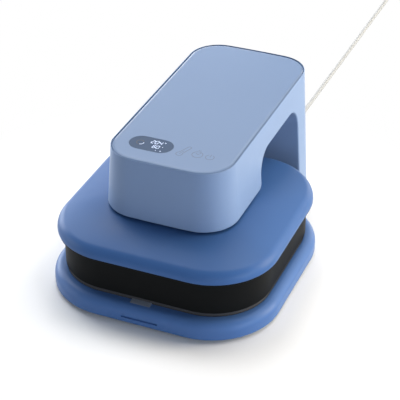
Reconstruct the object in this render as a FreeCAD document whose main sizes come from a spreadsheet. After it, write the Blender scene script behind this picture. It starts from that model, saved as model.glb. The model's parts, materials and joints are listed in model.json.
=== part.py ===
import FreeCAD, Part
import Sketcher
import math
import os
import re

# Automatic heat press, closed. Millimetres, +Z up, origin at the centre of the footprint on the table.
# The front of the machine looks along -Y. The arm tilts back on a hinge low behind the platen.

doc = FreeCAD.newDocument("HeatPress")
sheet = doc.addObject("Spreadsheet::Sheet", "Sizes")

# Driving sizes: name, value, meaning
sizes = [
    ("platen_y", -70.9, "platen centre along Y"),
    ("base_width", 430, "base, side to side"),
    ("base_depth", 436, "base, front to back without its tail"),
    ("base_shift", 1.5, "base centre in front of the platen centre"),
    ("base_corner", 129, "corner radius of the base outline"),
    ("base_lift", 6, "underside of the base above the table"),
    ("base_top", 40, "crest of the base rim"),
    ("base_roll", 17.5, "rounding of the base's upper edge"),
    ("base_lower_round", 3, "rounding of the base's lower edge"),
    ("base_wall", 5, "wall of the base shell"),
    ("base_ceiling", 30.5, "top of the hollow inside the base"),
    ("base_hollow_round", 9, "rounding inside the base's upper edge"),
    ("recess_floor", 34, "floor of the mat recess"),
    ("tail_half", 106, "half width of the tail"),
    ("tail_drop", 2, "tail top below the base rim"),
    ("tail_wall", 3, "wall of the tail"),
    ("tail_reach", 305, "hinge axis behind the platen centre"),
    ("slot_length", 71, "recessed slot in the base front, length"),
    ("slot_height", 3.6, "recessed slot, height"),
    ("slot_depth", 2, "recessed slot, depth"),
    ("slot_level", 16.5, "recessed slot, underside"),
    ("plate_gap", 0.5, "gap round the bottom plate"),
    ("bottom_level", 7.5, "underside of the bottom plate"),
    ("bottom_thick", 1.5, "bottom plate"),
    ("foot_radius", 15, "rubber foot"),
    ("foot_inset_x", 65, "front and middle feet inside the base's sides"),
    ("foot_inset_y", 68, "front and middle feet inside the base's front and back"),
    ("bed_inset", 34, "press bed inside the base outline"),
    ("bed_thick", 3, "press bed plate"),
    ("bed_gap", 0.2, "press bed under the recess floor"),
    ("bed_post_radius", 8, "posts under the press bed"),
    ("bed_post_pitch", 120, "spacing of the bed posts"),
    ("mat_inset", 3, "pressing mat inside the heat skirt's outline"),
    ("mat_gap", 1, "gap round the pressing mat"),
    ("mat_thick", 12, "pressing mat"),
    ("mat_round", 3, "rounded upper edge of the mat"),
    ("tab_width", 38, "fabric tab on the mat"),
    ("tab_length", 12, "fabric tab, free length"),
    ("tab_x", -5, "fabric tab, off centre"),
    ("tab_thick", 0.9, "fabric tab"),
    ("pin_radius", 7, "hinge pin"),
    ("pin_inner", 50, "inner end of a hinge pin, off centre"),
    ("pin_outer", 121, "outer end of a hinge pin, off centre"),
    ("pin_hole_gap", 0.6, "hole in the tail round the pin"),
    ("cheek_thick", 6, "hinge bracket cheek"),
    ("cheek_inner", 66, "inner cheek, off centre"),
    ("cheek_outer", 96, "outer cheek, off centre"),
    ("cheek_length", 62, "bracket length in front of the pin"),
    ("running_gap", 0.05, "radial running clearance of pins, posts and shafts"),
    ("part_gap", 0.3, "gap between parts that move past each other"),
    ("platen_width", 415.8, "platen cover, side to side"),
    ("platen_depth", 413.7, "platen cover, front to back"),
    ("platen_corner", 121, "corner radius of the platen cover"),
    ("cover_low", 116.5, "lower edge of the platen cover"),
    ("cover_edge", 140, "where the edge rounding meets the crown"),
    ("cover_roll", 20, "edge rounding of the platen cover"),
    ("cover_hollow_round", 6.5, "rounding inside the cover's edge"),
    ("cover_wall", 4, "wall of the platen cover"),
    ("cover_ceiling", 132, "top of the hollow inside the cover's edge"),
    ("crown_top", 158, "flat top of the crown"),
    ("crown_inset", 2, "crown's flat top inside the box outline"),
    ("rim_inset", 1.6, "black rim inside the cover outline"),
    ("rim_thick", 4.5, "black rim under the cover"),
    ("skirt_inset", 12, "heat skirt inside the cover outline"),
    ("skirt_wall", 3, "wall of the heat skirt"),
    ("skirt_lift", 1.6, "lower edge of the skirt above the mat"),
    ("heat_gap", 1, "gap between skirt and heat plate"),
    ("heat_thick", 10, "heat plate"),
    ("carrier_inset", 9, "carrier plate inside the cover outline"),
    ("carrier_thick", 4, "carrier plate"),
    ("element_radius", 3.5, "heater element tube"),
    ("element_half", 140, "half length of the heater element's runs"),
    ("element_pitch", 46, "spacing of the heater element's runs"),
    ("insulation_thick", 26, "insulation blanket"),
    ("insulation_inset", 8, "insulation inside the heat plate outline"),
    ("plate_post_radius", 7, "posts that hang the heat plate"),
    ("plate_post_spread", 118, "those posts, off centre"),
    ("post_radius", 6, "guide post"),
    ("post_spread_x", 74, "guide posts, off centre"),
    ("post_spread_y", 48, "guide posts, off the box centre"),
    ("bush_wall", 4, "guide bush wall"),
    ("bush_length", 26, "guide bush, from the underside of the head plate"),
    ("collar_radius", 10, "collar on a guide post"),
    ("collar_thick", 6, "collar on a guide post"),
    ("float_travel", 3, "how far the platen rises against its springs"),
    ("spring_radius", 12.5, "disc spring stack"),
    ("spring_discs", 10, "disc spring pairs in a stack"),
    ("spring_sheet", 1, "thickness of a disc spring"),
    ("arm_top", 277.8, "top of the arm"),
    ("panel_width", 227.9, "top panel"),
    ("panel_depth", 458.9, "top panel, without its bulge"),
    ("panel_corner", 57.2, "corner radius of the top panel"),
    ("panel_bulge", 3.7, "how far the panel's ends swell out"),
    ("panel_thick", 3.5, "top panel"),
    ("panel_gap", 1, "seam round the top panel"),
    ("panel_edge", 3, "rounded edge of the top panel"),
    ("panel_ledge", 6, "ledge under the top panel"),
    ("panel_back", 117.5, "arm centre behind the platen centre"),
    ("arm_rim", 2.4, "arm wall outside the seam"),
    ("arm_edge", 1, "bevelled upper edge of the arm"),
    ("arm_draft", 3.8, "flare of the arm's front and sides, degrees"),
    ("arm_rear_draft", 2, "flare of the arm's back, degrees"),
    ("arm_wall", 3, "wall of the arm shell"),
    ("arm_low", 12, "lowest edge of the column"),
    ("box_low", 162, "lower edge of the front box"),
    ("opening_front", 57.5, "front of the hand opening behind the platen centre"),
    ("opening_back", 257.5, "back of the hand opening behind the platen centre"),
    ("opening_top", 228.5, "top of the hand opening"),
    ("opening_corner", 42, "corner radius of the hand opening"),
    ("liner_gap", 0.15, "joint round the hand opening's liner"),
    ("heel_angle", 30, "slope under the column, where it meets the table when open"),
    ("heel_back", 23, "start of that slope behind the hinge axis"),
    ("tail_clear", 3, "gap between column and tail"),
    ("sheet_thick", 5, "steel arm plate"),
    ("sheet_half", 108, "inner face of an arm plate, off centre"),
    ("sheet_band", 26, "height of an arm plate's beam"),
    ("sheet_drop", 12.3, "top of the arm plates below the top panel"),
    ("sheet_front", -66, "front of the arm plates, from the platen centre"),
    ("sheet_leg", 38, "back of an arm plate's front leg, from the platen centre"),
    ("sheet_gap", 3.5, "gap between arm plates and the hand opening's wall"),
    ("sheet_post", 36, "depth of an arm plate's column"),
    ("hub_radius", 14, "round foot of an arm plate"),
    ("hinge_bush_wall", 2, "hinge bush"),
    ("head_plate_level", 168, "underside of the head plate"),
    ("head_plate_thick", 5, "head plate"),
    ("head_nose_half", 94, "half width of the head plate in front of the arm plates"),
    ("head_nose_front", -99, "front of the head plate, from the platen centre"),
    ("spacer_radius", 7.5, "frame spacer"),
    ("gear_module", 1.75, "gear module"),
    ("pinion_teeth", 16, "teeth of the drive pinion"),
    ("sector_teeth", 56, "teeth of the sector's full circle"),
    ("gear_width", 8, "sector gear width"),
    ("gear_backlash", 0.3, "play between the teeth"),
    ("sector_front", 14, "sector in front of upright, degrees"),
    ("sector_rear", 44, "sector behind upright, degrees"),
    ("sector_hub", 9.5, "hub of the sector gear"),
    ("sector_inner", 52, "inner face of the sector, off centre"),
    ("shaft_radius", 4, "pinion shaft"),
    ("gearbox_radius", 21, "gearbox"),
    ("gearbox_length", 38, "gearbox"),
    ("motor_radius", 19, "motor"),
    ("motor_length", 62, "motor"),
    ("bridge_thick", 3, "motor bridge sheet"),
    ("lens_straight", 18.9, "half of the display pill's straight side"),
    ("lens_radius", 22.3, "end radius of the display pill"),
    ("lens_x", -43.9, "centre of the display pill"),
    ("lens_y", -56, "display pill from the platen centre"),
    ("lens_thick", 1.8, "display lens"),
    ("lens_gap", 0.2, "gap round the display lens"),
    ("key_x", 17.2, "first touch key"),
    ("key_pitch", 25.4, "spacing of the touch keys"),
    ("key_radius", 9, "ring round a touch key"),
    ("key_line", 0.7, "width of that ring"),
    ("key_depth", 0.4, "depth of that ring"),
    ("board_thick", 1.6, "circuit board"),
    ("cord_x", 18, "cord, off centre"),
    ("cord_radius", 4.5, "mains cord"),
    ("relief_radius", 7.5, "strain relief at its root"),
    ("relief_length", 38, "strain relief"),
    ("notch_half", 17, "half width of the cord notch"),
    ("notch_top", 62, "top of the cord notch"),
    ("coil_radius", 54, "middle of the cord's coil"),
    ("coil_y", 1290, "centre of the cord's coil behind the origin"),
    ("plug_length", 34, "plug body"),
    ("plug_width", 27, "plug body"),
    ("plug_height", 21, "plug body"),
    ("plug_round", 5, "rounding of the plug body"),
    ("plug_sleeve", 22, "tapered sleeve of the plug"),
    ("blade_length", 16, "plug blade"),
    ("blade_thick", 1.5, "plug blade"),
    ("blade_height", 6.3, "plug blade"),
    ("blade_spread", 12.7, "distance between the blades"),
    ("earth_radius", 2.4, "round earth pin"),
    ("screw_radius", 2.5, "screw shank"),
    ("screw_head", 4.5, "screw head radius"),
    ("screw_head_thick", 2.2, "screw head"),
    ("screw_length", 12, "screw shank length"),
]

for row, (name, size, meaning) in enumerate(sizes, start=1):
    sheet.set("A%d" % row, name)
    sheet.set("B%d" % row, str(size))
    sheet.set("C%d" % row, meaning)
    sheet.setAlias("B%d" % row, name)
doc.recompute()

# Places and sizes that follow from the driving ones
derived = {
    "base_y": "platen_y - base_shift",
    "base_front": "base_y - base_depth / 2",
    "tail_top": "base_top - tail_drop",
    "tail_round": "(base_top - tail_drop - base_lift) / 2",
    "hinge_y": "platen_y + tail_reach",
    "hinge_z": "base_lift + tail_round",
    "bottom_top": "bottom_level + bottom_thick",
    "bed_top": "base_ceiling - bed_gap",
    "bed_low": "bed_top - bed_thick",
    "mat_top": "recess_floor + mat_thick",
    "mat_edge": "skirt_inset + mat_inset",
    "mat_front": "platen_y - platen_depth / 2 + mat_edge",
    "rim_low": "cover_low - rim_thick",
    "skirt_low": "mat_top + skirt_lift",
    "heat_low": "mat_top + part_gap",
    "heat_top": "heat_low + heat_thick",
    "heat_inset": "skirt_inset + skirt_wall + heat_gap",
    "carrier_top": "cover_low + carrier_thick",
    "insulation_low": "heat_top + 2 * element_radius + part_gap",
    "arm_y": "platen_y + panel_back",
    "seat_top": "arm_top - panel_thick",
    "ledge_low": "seat_top - arm_wall",
    "sheet_top": "seat_top - sheet_drop",
    "mouth_front": "platen_y + opening_front",
    "mouth_back": "platen_y + opening_back",
    "box_front": "arm_y - panel_depth / 2 - arm_rim",
    "box_y": "(box_front + mouth_front) / 2",
    "post_y_front": "box_y - post_spread_y",
    "post_y_rear": "box_y + post_spread_y",
    "bush_top": "head_plate_level + bush_length",
    "collar_low": "bush_top + part_gap",
    "collar_top": "collar_low + collar_thick",
    "spring_top": "head_plate_level - float_travel - 2 * part_gap",
    "post_back": "mouth_back + arm_wall + sheet_gap",
    "pinion_pitch": "gear_module * pinion_teeth / 2",
    "sector_pitch": "gear_module * sector_teeth / 2",
    "drive_z": "hinge_z + pinion_pitch + sector_pitch",
    "relief_back": "hinge_y + tail_round + relief_length",
}
known = {name for name, size, meaning in sizes}


def formula(text):
    # The short names in a formula become references to the sheet
    def reference(match):
        word = match.group(0)
        if word in derived:
            return "(" + formula(derived[word]) + ")"
        if word in known:
            return "Sizes." + word
        return word
    return re.sub(r"[a-z_]+", reference, str(text))


def value(text):
    return float(sheet.evalExpression(formula(text)))


def vector(x, y, z=0):
    return FreeCAD.Vector(x, y, z)


def bind(thing, **formulas):
    # Binds properties, with a double underscore for each dot in a path
    for path, text in formulas.items():
        thing.setExpression(path.replace("__", "."), formula(text))
    return thing


def place(thing, x="0", y="0", z="0"):
    return bind(thing, Placement__Base__x=x, Placement__Base__y=y, Placement__Base__z=z)


# Primitives and booleans

def block(name, x, y, z):
    # A box between pairs of formulas
    box = doc.addObject("Part::Box", name)
    bind(box, Length="(%s) - (%s)" % (x[1], x[0]))
    bind(box, Width="(%s) - (%s)" % (y[1], y[0]))
    bind(box, Height="(%s) - (%s)" % (z[1], z[0]))
    return place(box, x[0], y[0], z[0])


turns = {
    "x": FreeCAD.Rotation(vector(0, 1, 0), 90),
    "y": FreeCAD.Rotation(vector(1, 0, 0), -90),
    "z": FreeCAD.Rotation(),
}


def rod(name, axis, radius, length, x="0", y="0", z="0"):
    # A cylinder that starts at a point and runs along +X, +Y or +Z
    cylinder = doc.addObject("Part::Cylinder", name)
    cylinder.Placement = FreeCAD.Placement(vector(0, 0, 0), turns[axis])
    bind(cylinder, Radius=radius, Height=length)
    return place(cylinder, x, y, z)


def cone(name, axis, radius_root, radius_end, length, x="0", y="0", z="0"):
    taper = doc.addObject("Part::Cone", name)
    taper.Placement = FreeCAD.Placement(vector(0, 0, 0), turns[axis])
    bind(taper, Radius1=radius_root, Radius2=radius_end, Height=length)
    return place(taper, x, y, z)


def fuse(name, pieces):
    whole = doc.addObject("Part::MultiFuse", name)
    whole.Shapes = pieces
    return whole


def cut(name, base, tools):
    tool = tools[0] if len(tools) == 1 else fuse(name + "_tools", tools)
    remains = doc.addObject("Part::Cut", name)
    remains.Base = base
    remains.Tool = tool
    return remains


def common(name, pieces):
    shared = doc.addObject("Part::MultiCommon", name)
    shared.Shapes = pieces
    return shared


def group(name, pieces):
    # Identical loose solids in one node
    together = doc.addObject("Part::Compound", name)
    together.Links = pieces
    return together


# Bodies and sketches

def new_body(name):
    return doc.addObject("PartDesign::Body", name)


def plane_of(body, role):
    return next(part for part in body.Origin.OriginFeatures if part.Role == role)


def new_sketch(body, name, role, level="0"):
    sketch = body.newObject("Sketcher::SketchObject", name)
    sketch.AttachmentSupport = (plane_of(body, role), [""])
    sketch.MapMode = "FlatFace"
    sketch.setExpression("AttachmentOffset.Base.z", formula(level))
    return sketch


def named(sketch, name, text, *arguments):
    # A driving constraint bound to a formula
    index = sketch.addConstraint(Sketcher.Constraint(*arguments, value(text)))
    sketch.renameConstraint(index, name)
    sketch.setExpression("Constraints." + name, formula(text))


def rounded(body, name, level, width, depth, corner, middle, bulge=None):
    # A rounded rectangle on the XY plane; with a bulge its ends swell out as arcs
    sketch = new_sketch(body, name, "XY_Plane", level)
    half_x, half_y, radius, centre = value(width) / 2, value(depth) / 2, value(corner), value(middle)
    normal = vector(0, 0, 1)
    if bulge:
        swell = "((%s) / 2) ^ 2 / (2 * (%s))" % (width, bulge)
        big = value(swell)
        middle_y = half_y + value(bulge) - big
        corner_y = middle_y + math.sqrt((big - radius) ** 2 - (half_x - radius) ** 2)
        lean = math.atan2(corner_y - middle_y, half_x - radius)
    else:
        corner_y = half_y - radius
        lean = math.pi / 2
    corner_x = half_x - radius

    def arc(x, y, r, start, end):
        circle = Part.Circle(vector(x, centre + y), normal, r)
        return Part.ArcOfCircle(circle, start, end)

    def line(x0, y0, x1, y1):
        return Part.LineSegment(vector(x0, centre + y0), vector(x1, centre + y1))

    if bulge:
        rear = arc(0, middle_y, big, lean, math.pi - lean)
        front = arc(0, -middle_y, big, math.pi + lean, 2 * math.pi - lean)
    else:
        rear = line(corner_x, half_y, -corner_x, half_y)
        front = line(-corner_x, -half_y, corner_x, -half_y)
    sketch.addGeometry([
        line(half_x, -corner_y, half_x, corner_y),
        arc(corner_x, corner_y, radius, 0, lean),
        rear,
        arc(-corner_x, corner_y, radius, math.pi - lean, math.pi),
        line(-half_x, corner_y, -half_x, -corner_y),
        arc(-corner_x, -corner_y, radius, math.pi, math.pi + lean),
        front,
        arc(corner_x, -corner_y, radius, 2 * math.pi - lean, 2 * math.pi),
    ], False)
    for edge in range(8):
        sketch.addConstraint(Sketcher.Constraint("Tangent", edge, 2, (edge + 1) % 8, 1))
    for edge in (3, 5, 7):
        sketch.addConstraint(Sketcher.Constraint("Equal", 1, edge))
    for edge in (0, 4):
        sketch.addConstraint(Sketcher.Constraint("Vertical", edge))
    named(sketch, "right", "(%s) / 2" % width, "DistanceX", -1, 1, 0, 1)
    named(sketch, "left", "-(%s) / 2" % width, "DistanceX", -1, 1, 4, 1)
    named(sketch, "corner", corner, "Radius", 1)
    if bulge:
        reach = "(%s) / 2 + (%s) - %s" % (depth, bulge, swell)
        for edge, word, sign in ((2, "rear", "+"), (6, "front", "-")):
            sketch.addConstraint(Sketcher.Constraint("PointOnObject", edge, 3, -2))
            named(sketch, word + "_swell", swell, "Radius", edge)
            named(sketch, word + "_centre", "(%s) %s (%s)" % (middle, sign, reach),
                  "DistanceY", -1, 1, edge, 3)
    else:
        for edge, word, sign in ((2, "rear", "+"), (6, "front", "-")):
            sketch.addConstraint(Sketcher.Constraint("Horizontal", edge))
            named(sketch, word, "(%s) %s (%s) / 2" % (middle, sign, depth), "DistanceY", -1, 1, edge, 1)
    return sketch


def polygon(body, name, role, points, level="0"):
    # A closed outline of straight lines through pairs of formulas
    sketch = new_sketch(body, name, role, level)
    spots = [vector(value(a), value(b)) for a, b in points]
    count = len(spots)
    sketch.addGeometry([Part.LineSegment(spots[i], spots[(i + 1) % count]) for i in range(count)], False)
    for i in range(count):
        sketch.addConstraint(Sketcher.Constraint("Coincident", i, 2, (i + 1) % count, 1))
    for i, (a, b) in enumerate(points):
        named(sketch, "across%d" % i, a, "DistanceX", -1, 1, i, 1)
        named(sketch, "up%d" % i, b, "DistanceY", -1, 1, i, 1)
    return sketch


def pad(body, sketch, length, midplane=False):
    feature = body.newObject("PartDesign::Pad", sketch.Name + "_pad")
    feature.Profile = sketch
    feature.Midplane = midplane
    bind(feature, Length=length)
    sketch.Visibility = False
    return feature


def pocket(body, sketch, length, midplane=False, upwards=False):
    feature = body.newObject("PartDesign::Pocket", sketch.Name + "_pocket")
    feature.Profile = sketch
    feature.Midplane = midplane
    feature.Reversed = upwards
    bind(feature, Length=length)
    return feature


def loft(body, first, second, subtract=False):
    kind = "PartDesign::SubtractiveLoft" if subtract else "PartDesign::AdditiveLoft"
    feature = body.newObject(kind, first.Name + "_loft")
    feature.Profile = first
    feature.Sections = [second]
    feature.Ruled = True
    return feature


def fillet(body, name, radius, chosen):
    # Rounds the edges of the last feature that pass the test
    doc.recompute()
    base = body.Tip
    edges = ["Edge%d" % (i + 1) for i, edge in enumerate(base.Shape.Edges) if chosen(edge)]
    feature = body.newObject("PartDesign::Fillet", name)
    feature.Base = (base, edges)
    bind(feature, Radius=radius)
    doc.recompute()
    return feature


def at_level(text):
    # Picks the edges that lie flat at a height
    level = value(text)
    return lambda edge: all(abs(v.Z - level) < 0.01 for v in edge.Vertexes) and \
        abs(edge.CenterOfMass.z - level) < 0.01


def across_at(y_text, z_text):
    # Picks the edges that run side to side through a point of the YZ plane
    y, z = value(y_text), value(z_text)
    return lambda edge: all(abs(v.Y - y) < 0.01 and abs(v.Z - z) < 0.01 for v in edge.Vertexes)


def inset(size, amount):
    return "%s - 2 * (%s)" % (size, amount)


# The node's name, its object
nodes = {}


def keep(name, thing):
    thing.Label = name
    nodes[name] = thing
    return thing


# Screws of the base, from below

def bed_spots():
    pitches = (-1, 0, 1)
    return [("%d * bed_post_pitch" % i, "base_y + %d * bed_post_pitch" % j)
            for i in pitches for j in pitches]


def bracket_spots(side):
    middle = "%d * (cheek_inner + cheek_outer) / 2" % side
    return [(middle, "hinge_y - cheek_length + 12"), (middle, "hinge_y - cheek_length + 36")]


def base_screw_spots():
    return bed_spots() + bracket_spots(-1) + bracket_spots(1)


def shanks(name, spots, z):
    return [rod("%s_%d" % (name, i), "z", "screw_radius", "screw_length", x, y, z)
            for i, (x, y) in enumerate(spots)]


def make_base_screws():
    screws = []
    for i, (x, y) in enumerate(base_screw_spots()):
        head = rod("base_screw_head_%d" % i, "z", "screw_head", "screw_head_thick",
                   x, y, "bottom_level - screw_head_thick")
        shank = rod("base_screw_shank_%d" % i, "z", "screw_radius", "screw_length", x, y, "bottom_level")
        screws.append(fuse("base_screw_%d" % i, [head, shank]))
    return group("base_screws", screws)


# Base

def make_base_shell():
    body = new_body("base_body")
    sketch = rounded(body, "base_outline", "base_lift", "base_width", "base_depth", "base_corner", "base_y")
    pad(body, sketch, "base_top - base_lift")
    fillet(body, "base_upper_edge", "base_roll", at_level("base_top"))
    fillet(body, "base_lower_edge", "base_lower_round", at_level("base_lift"))

    tail = polygon(body, "tail_side", "YZ_Plane", [
        ("base_y", "base_lift"), ("hinge_y", "base_lift"),
        ("hinge_y + tail_round", "base_lift"), ("hinge_y + tail_round", "tail_top"),
        ("hinge_y", "tail_top"), ("base_y", "tail_top")])
    pad(body, tail, "2 * tail_half", midplane=True)
    doc.recompute()
    ends = [across_at("hinge_y + tail_round", "base_lift"), across_at("hinge_y + tail_round", "tail_top")]
    fillet(body, "tail_end", "tail_round - part_gap / 10", lambda edge: any(end(edge) for end in ends))

    hollow = rounded(body, "base_hollow", "base_lift - 1", inset("base_width", "base_wall"),
                     inset("base_depth", "base_wall"), "base_corner - base_wall", "base_y")
    pocket(body, hollow, "base_ceiling - base_lift + 1", upwards=True)
    fillet(body, "base_hollow_edge", "base_hollow_round", at_level("base_ceiling"))
    pocket(body, platen_outline(body, "mat_recess", "base_top + 1", "mat_edge - mat_gap"),
           "base_top + 1 - recess_floor")
    inside = polygon(body, "tail_hollow", "YZ_Plane", [
        ("base_y + base_depth / 2 - 3 * base_wall", "base_lift - 1"),
        ("hinge_y - tail_wall", "base_lift - 1"),
        ("hinge_y - tail_wall", "base_lift + tail_wall"),
        ("hinge_y + tail_round - 2 * tail_wall", "base_lift + 2 * tail_wall"),
        ("hinge_y + tail_round - 2 * tail_wall", "tail_top - 2 * tail_wall"),
        ("hinge_y", "tail_top - tail_wall"),
        ("base_y + base_depth / 2 - 2 * base_wall", "tail_top - tail_wall"),
        ("base_y + base_depth / 2 - 3 * base_wall", "base_ceiling")])
    pocket(body, inside, "2 * (tail_half - tail_wall)", midplane=True)
    doc.recompute()

    pin_hole = rod("base_pin_hole", "x", "pin_radius + pin_hole_gap", "2 * pin_outer",
                   "-pin_outer", "hinge_y", "hinge_z")
    relief_hole = rod("base_relief_hole", "y", "relief_radius", "4 * tail_wall",
                      "cord_x", "hinge_y + tail_round - 3 * tail_wall", "hinge_z")
    sector_slot = block("base_sector_slot", ("-sector_inner - gear_width - 2", "-sector_inner + 2"),
                        ("hinge_y - 9", "hinge_y + tail_round + 1"), ("hinge_z", "tail_top + 1"))
    grip = block("base_front_slot", ("-slot_length / 2", "slot_length / 2"),
                 ("base_front - 1", "base_front + slot_depth"), ("slot_level", "slot_level + slot_height"))
    return cut("base_shell", body, [pin_hole, relief_hole, sector_slot, grip])


def make_bottom_plate():
    body = new_body("bottom_body")
    edge = "base_wall + plate_gap"
    outline = rounded(body, "bottom_outline", "bottom_level", inset("base_width", edge),
                      inset("base_depth", edge), "base_corner - base_wall - plate_gap", "base_y")
    pad(body, outline, "bottom_thick")
    back = polygon(body, "bottom_tail", "XY_Plane", [
        ("-tail_half + tail_wall + plate_gap", "base_y"), ("tail_half - tail_wall - plate_gap", "base_y"),
        ("tail_half - tail_wall - plate_gap", "hinge_y - tail_wall - plate_gap"),
        ("-tail_half + tail_wall + plate_gap", "hinge_y - tail_wall - plate_gap")], "bottom_level")
    pad(body, back, "bottom_thick")
    return cut("bottom_plate", body, shanks("bottom_hole", base_screw_spots(), "bottom_level"))


def make_feet():
    side = "(base_width / 2 - foot_inset_x)"
    reach = "(base_depth / 2 - foot_inset_y)"
    front, middle = "base_y - " + reach, "base_y + " + reach
    rear_side, rear = "(tail_half - 3 * foot_radius)", "hinge_y - 3 * foot_radius"
    spots = [("-" + side, front), (side, front), ("-" + side, middle), (side, middle),
             ("-" + rear_side, rear), (rear_side, rear)]
    names = ["foot_front_left", "foot_front_right", "foot_middle_left", "foot_middle_right",
             "foot_rear_left", "foot_rear_right"]
    for name, (x, y) in zip(names, spots):
        keep(name, cone(name, "z", "foot_radius - 2", "foot_radius", "bottom_level", x, y))


def make_press_bed():
    body = new_body("press_bed")
    outline = rounded(body, "bed_outline", "bed_low", inset("base_width", "bed_inset"),
                      inset("base_depth", "bed_inset"), "base_corner - bed_inset", "base_y")
    pad(body, outline, "bed_thick")
    return body


def make_bed_posts():
    posts = []
    for i in (-1, 0, 1):
        for j in (-1, 0, 1):
            posts.append(rod("bed_post_%d_%d" % (i + 1, j + 1), "z", "bed_post_radius",
                             "bed_low - bottom_top", "%d * bed_post_pitch" % i,
                             "base_y + %d * bed_post_pitch" % j, "bottom_top"))
    holes = shanks("bed_post_hole", bed_spots(), "bottom_level")
    return group("bed_posts", [cut(post.Name + "_bored", post, [hole]) for post, hole in zip(posts, holes)])


def make_mat():
    body = new_body("pressing_mat")
    pad(body, platen_outline(body, "mat_outline", "recess_floor", "mat_edge"), "mat_thick")
    fillet(body, "mat_upper_edge", "mat_round", at_level("mat_top"))
    return body


def make_mat_tab():
    return block("mat_tab", ("tab_x - tab_width / 2", "tab_x + tab_width / 2"),
                 ("mat_front - tab_length", "mat_front"),
                 ("base_top + part_gap", "base_top + part_gap + tab_thick"))


# Hinge and drive

def make_hinge_bracket(name, side):
    # Two cheeks on a foot; side is -1 on the left and 1 on the right
    def span(near, thick):
        near_x, far_x = "%d * (%s)" % (side, near), "%d * (%s + %s)" % (side, near, thick)
        return (near_x, far_x) if side > 0 else (far_x, near_x)

    front = "hinge_y - cheek_length"
    pieces = [block(name + "_foot", span("cheek_inner", "cheek_outer - cheek_inner"),
                    (front, "hinge_y - 2 * pin_radius"), ("bottom_top", "bottom_top + cheek_thick"))]
    for word in ("inner", "outer"):
        cheek = "cheek_" + word
        near = cheek if word == "inner" else "cheek_outer - cheek_thick"
        pieces.append(block(name + "_" + word, span(near, "cheek_thick"), (front, "hinge_y - tail_wall"),
                            ("bottom_top", "tail_top - tail_wall - part_gap")))
        x = span(near, "cheek_thick")[0]
        pieces.append(rod(name + "_eye_" + word, "x", "tail_round - tail_wall - 3 * part_gap", "cheek_thick",
                          x, "hinge_y - tail_wall", "hinge_z"))
    bore = rod(name + "_bore", "x", "pin_radius", "2 * cheek_outer",
               "-cheek_outer + %d * cheek_outer" % side, "hinge_y", "hinge_z")
    spots = bracket_spots(side)
    return cut(name, fuse(name + "_solid", pieces), [bore] + shanks(name + "_hole", spots, "bottom_level"))


def make_hinge_pin(name, side):
    x = "pin_inner" if side > 0 else "-pin_outer"
    return rod(name, "x", "pin_radius", "pin_outer - pin_inner", x, "hinge_y", "hinge_z")


def make_pin_clips():
    clips = []
    for side in (-1, 1):
        # The clips close the pins' outer ends, outside the arm plates
        x = "sheet_half + sheet_thick + 2" if side > 0 else "-sheet_half - sheet_thick - 4"
        ring = rod("clip_ring_%d" % (side + 1), "x", "pin_radius + 3", "2", x, "hinge_y", "hinge_z")
        bore = rod("clip_bore_%d" % (side + 1), "x", "pin_radius", "2", x, "hinge_y", "hinge_z")
        clips.append(cut("pin_clip_%d" % (side + 1), ring, [bore]))
    return group("pin_clips", clips)


def tooth_flank(teeth, addendum, dedendum):
    # Radii and half angles along one flank of an involute tooth, root first
    module = value("gear_module")
    pitch = module * teeth / 2
    base = pitch * math.cos(math.radians(20))
    root, tip = pitch - dedendum * module, pitch + addendum * module

    def involute(radius):
        angle = math.acos(min(1, base / radius))
        return math.tan(angle) - angle

    half = math.pi / teeth / 2 - value("gear_backlash") / (4 * pitch) + involute(pitch)
    steps = 6
    flank = [(root, half)] if root < base else []
    start = max(root, base)
    for i in range(steps):
        radius = start + (tip - start) * i / (steps - 1)
        flank.append((radius, half - involute(radius)))
    return flank


def toothed_edge(teeth, centres, centre_y, centre_z):
    # The outline of teeth at the given angles, measured from upright towards the back
    flank = tooth_flank(teeth, 0.9, 1.2)

    def spot(radius, angle):
        return vector(0, centre_y + radius * math.sin(angle), centre_z + radius * math.cos(angle))

    edges = []
    points = []
    for middle in centres:
        rise = [spot(r, middle - a) for r, a in flank]
        fall = [spot(r, middle + a) for r, a in reversed(flank)]
        points.append((rise, fall))
    for i, (rise, fall) in enumerate(points):
        if i:
            edges.append(Part.LineSegment(points[i - 1][1][-1], rise[0]).toShape())
        for side in (rise, fall):
            for start, end in zip(side, side[1:]):
                edges.append(Part.LineSegment(start, end).toShape())
            if side is rise:
                edges.append(Part.LineSegment(rise[-1], fall[0]).toShape())
    return edges, points[0][0][0], points[-1][1][-1]


def feature(name, shape):
    thing = doc.addObject("Part::Feature", name)
    thing.Shape = shape
    return thing


def make_sector_gear():
    y, z = value("hinge_y"), value("hinge_z")
    teeth = int(value("sector_teeth"))
    step = 2 * math.pi / teeth
    first = -int(math.radians(value("sector_front")) / step)
    last = int(math.radians(value("sector_rear")) / step)
    edges, start, end = toothed_edge(teeth, [i * step for i in range(first, last + 1)], y, z)
    centre = vector(0, y, z)
    edges.append(Part.LineSegment(end, centre).toShape())
    edges.append(Part.LineSegment(centre, start).toShape())
    width = value("gear_width")
    wedge = Part.Face(Part.Wire(edges)).extrude(vector(width, 0, 0))
    along = vector(1, 0, 0)
    # Its hub reaches the left bracket, which holds it still
    reach = value("cheek_inner - sector_inner - gear_width")
    root = centre - vector(reach, 0)
    hub = Part.makeCylinder(value("sector_hub"), width + reach, root, along)
    bore = Part.makeCylinder(value("pin_radius"), width + reach, root, along)
    return place(feature("sector_gear", wedge.fuse(hub).cut(bore).removeSplitter()),
                 x="-sector_inner - gear_width")


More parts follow.
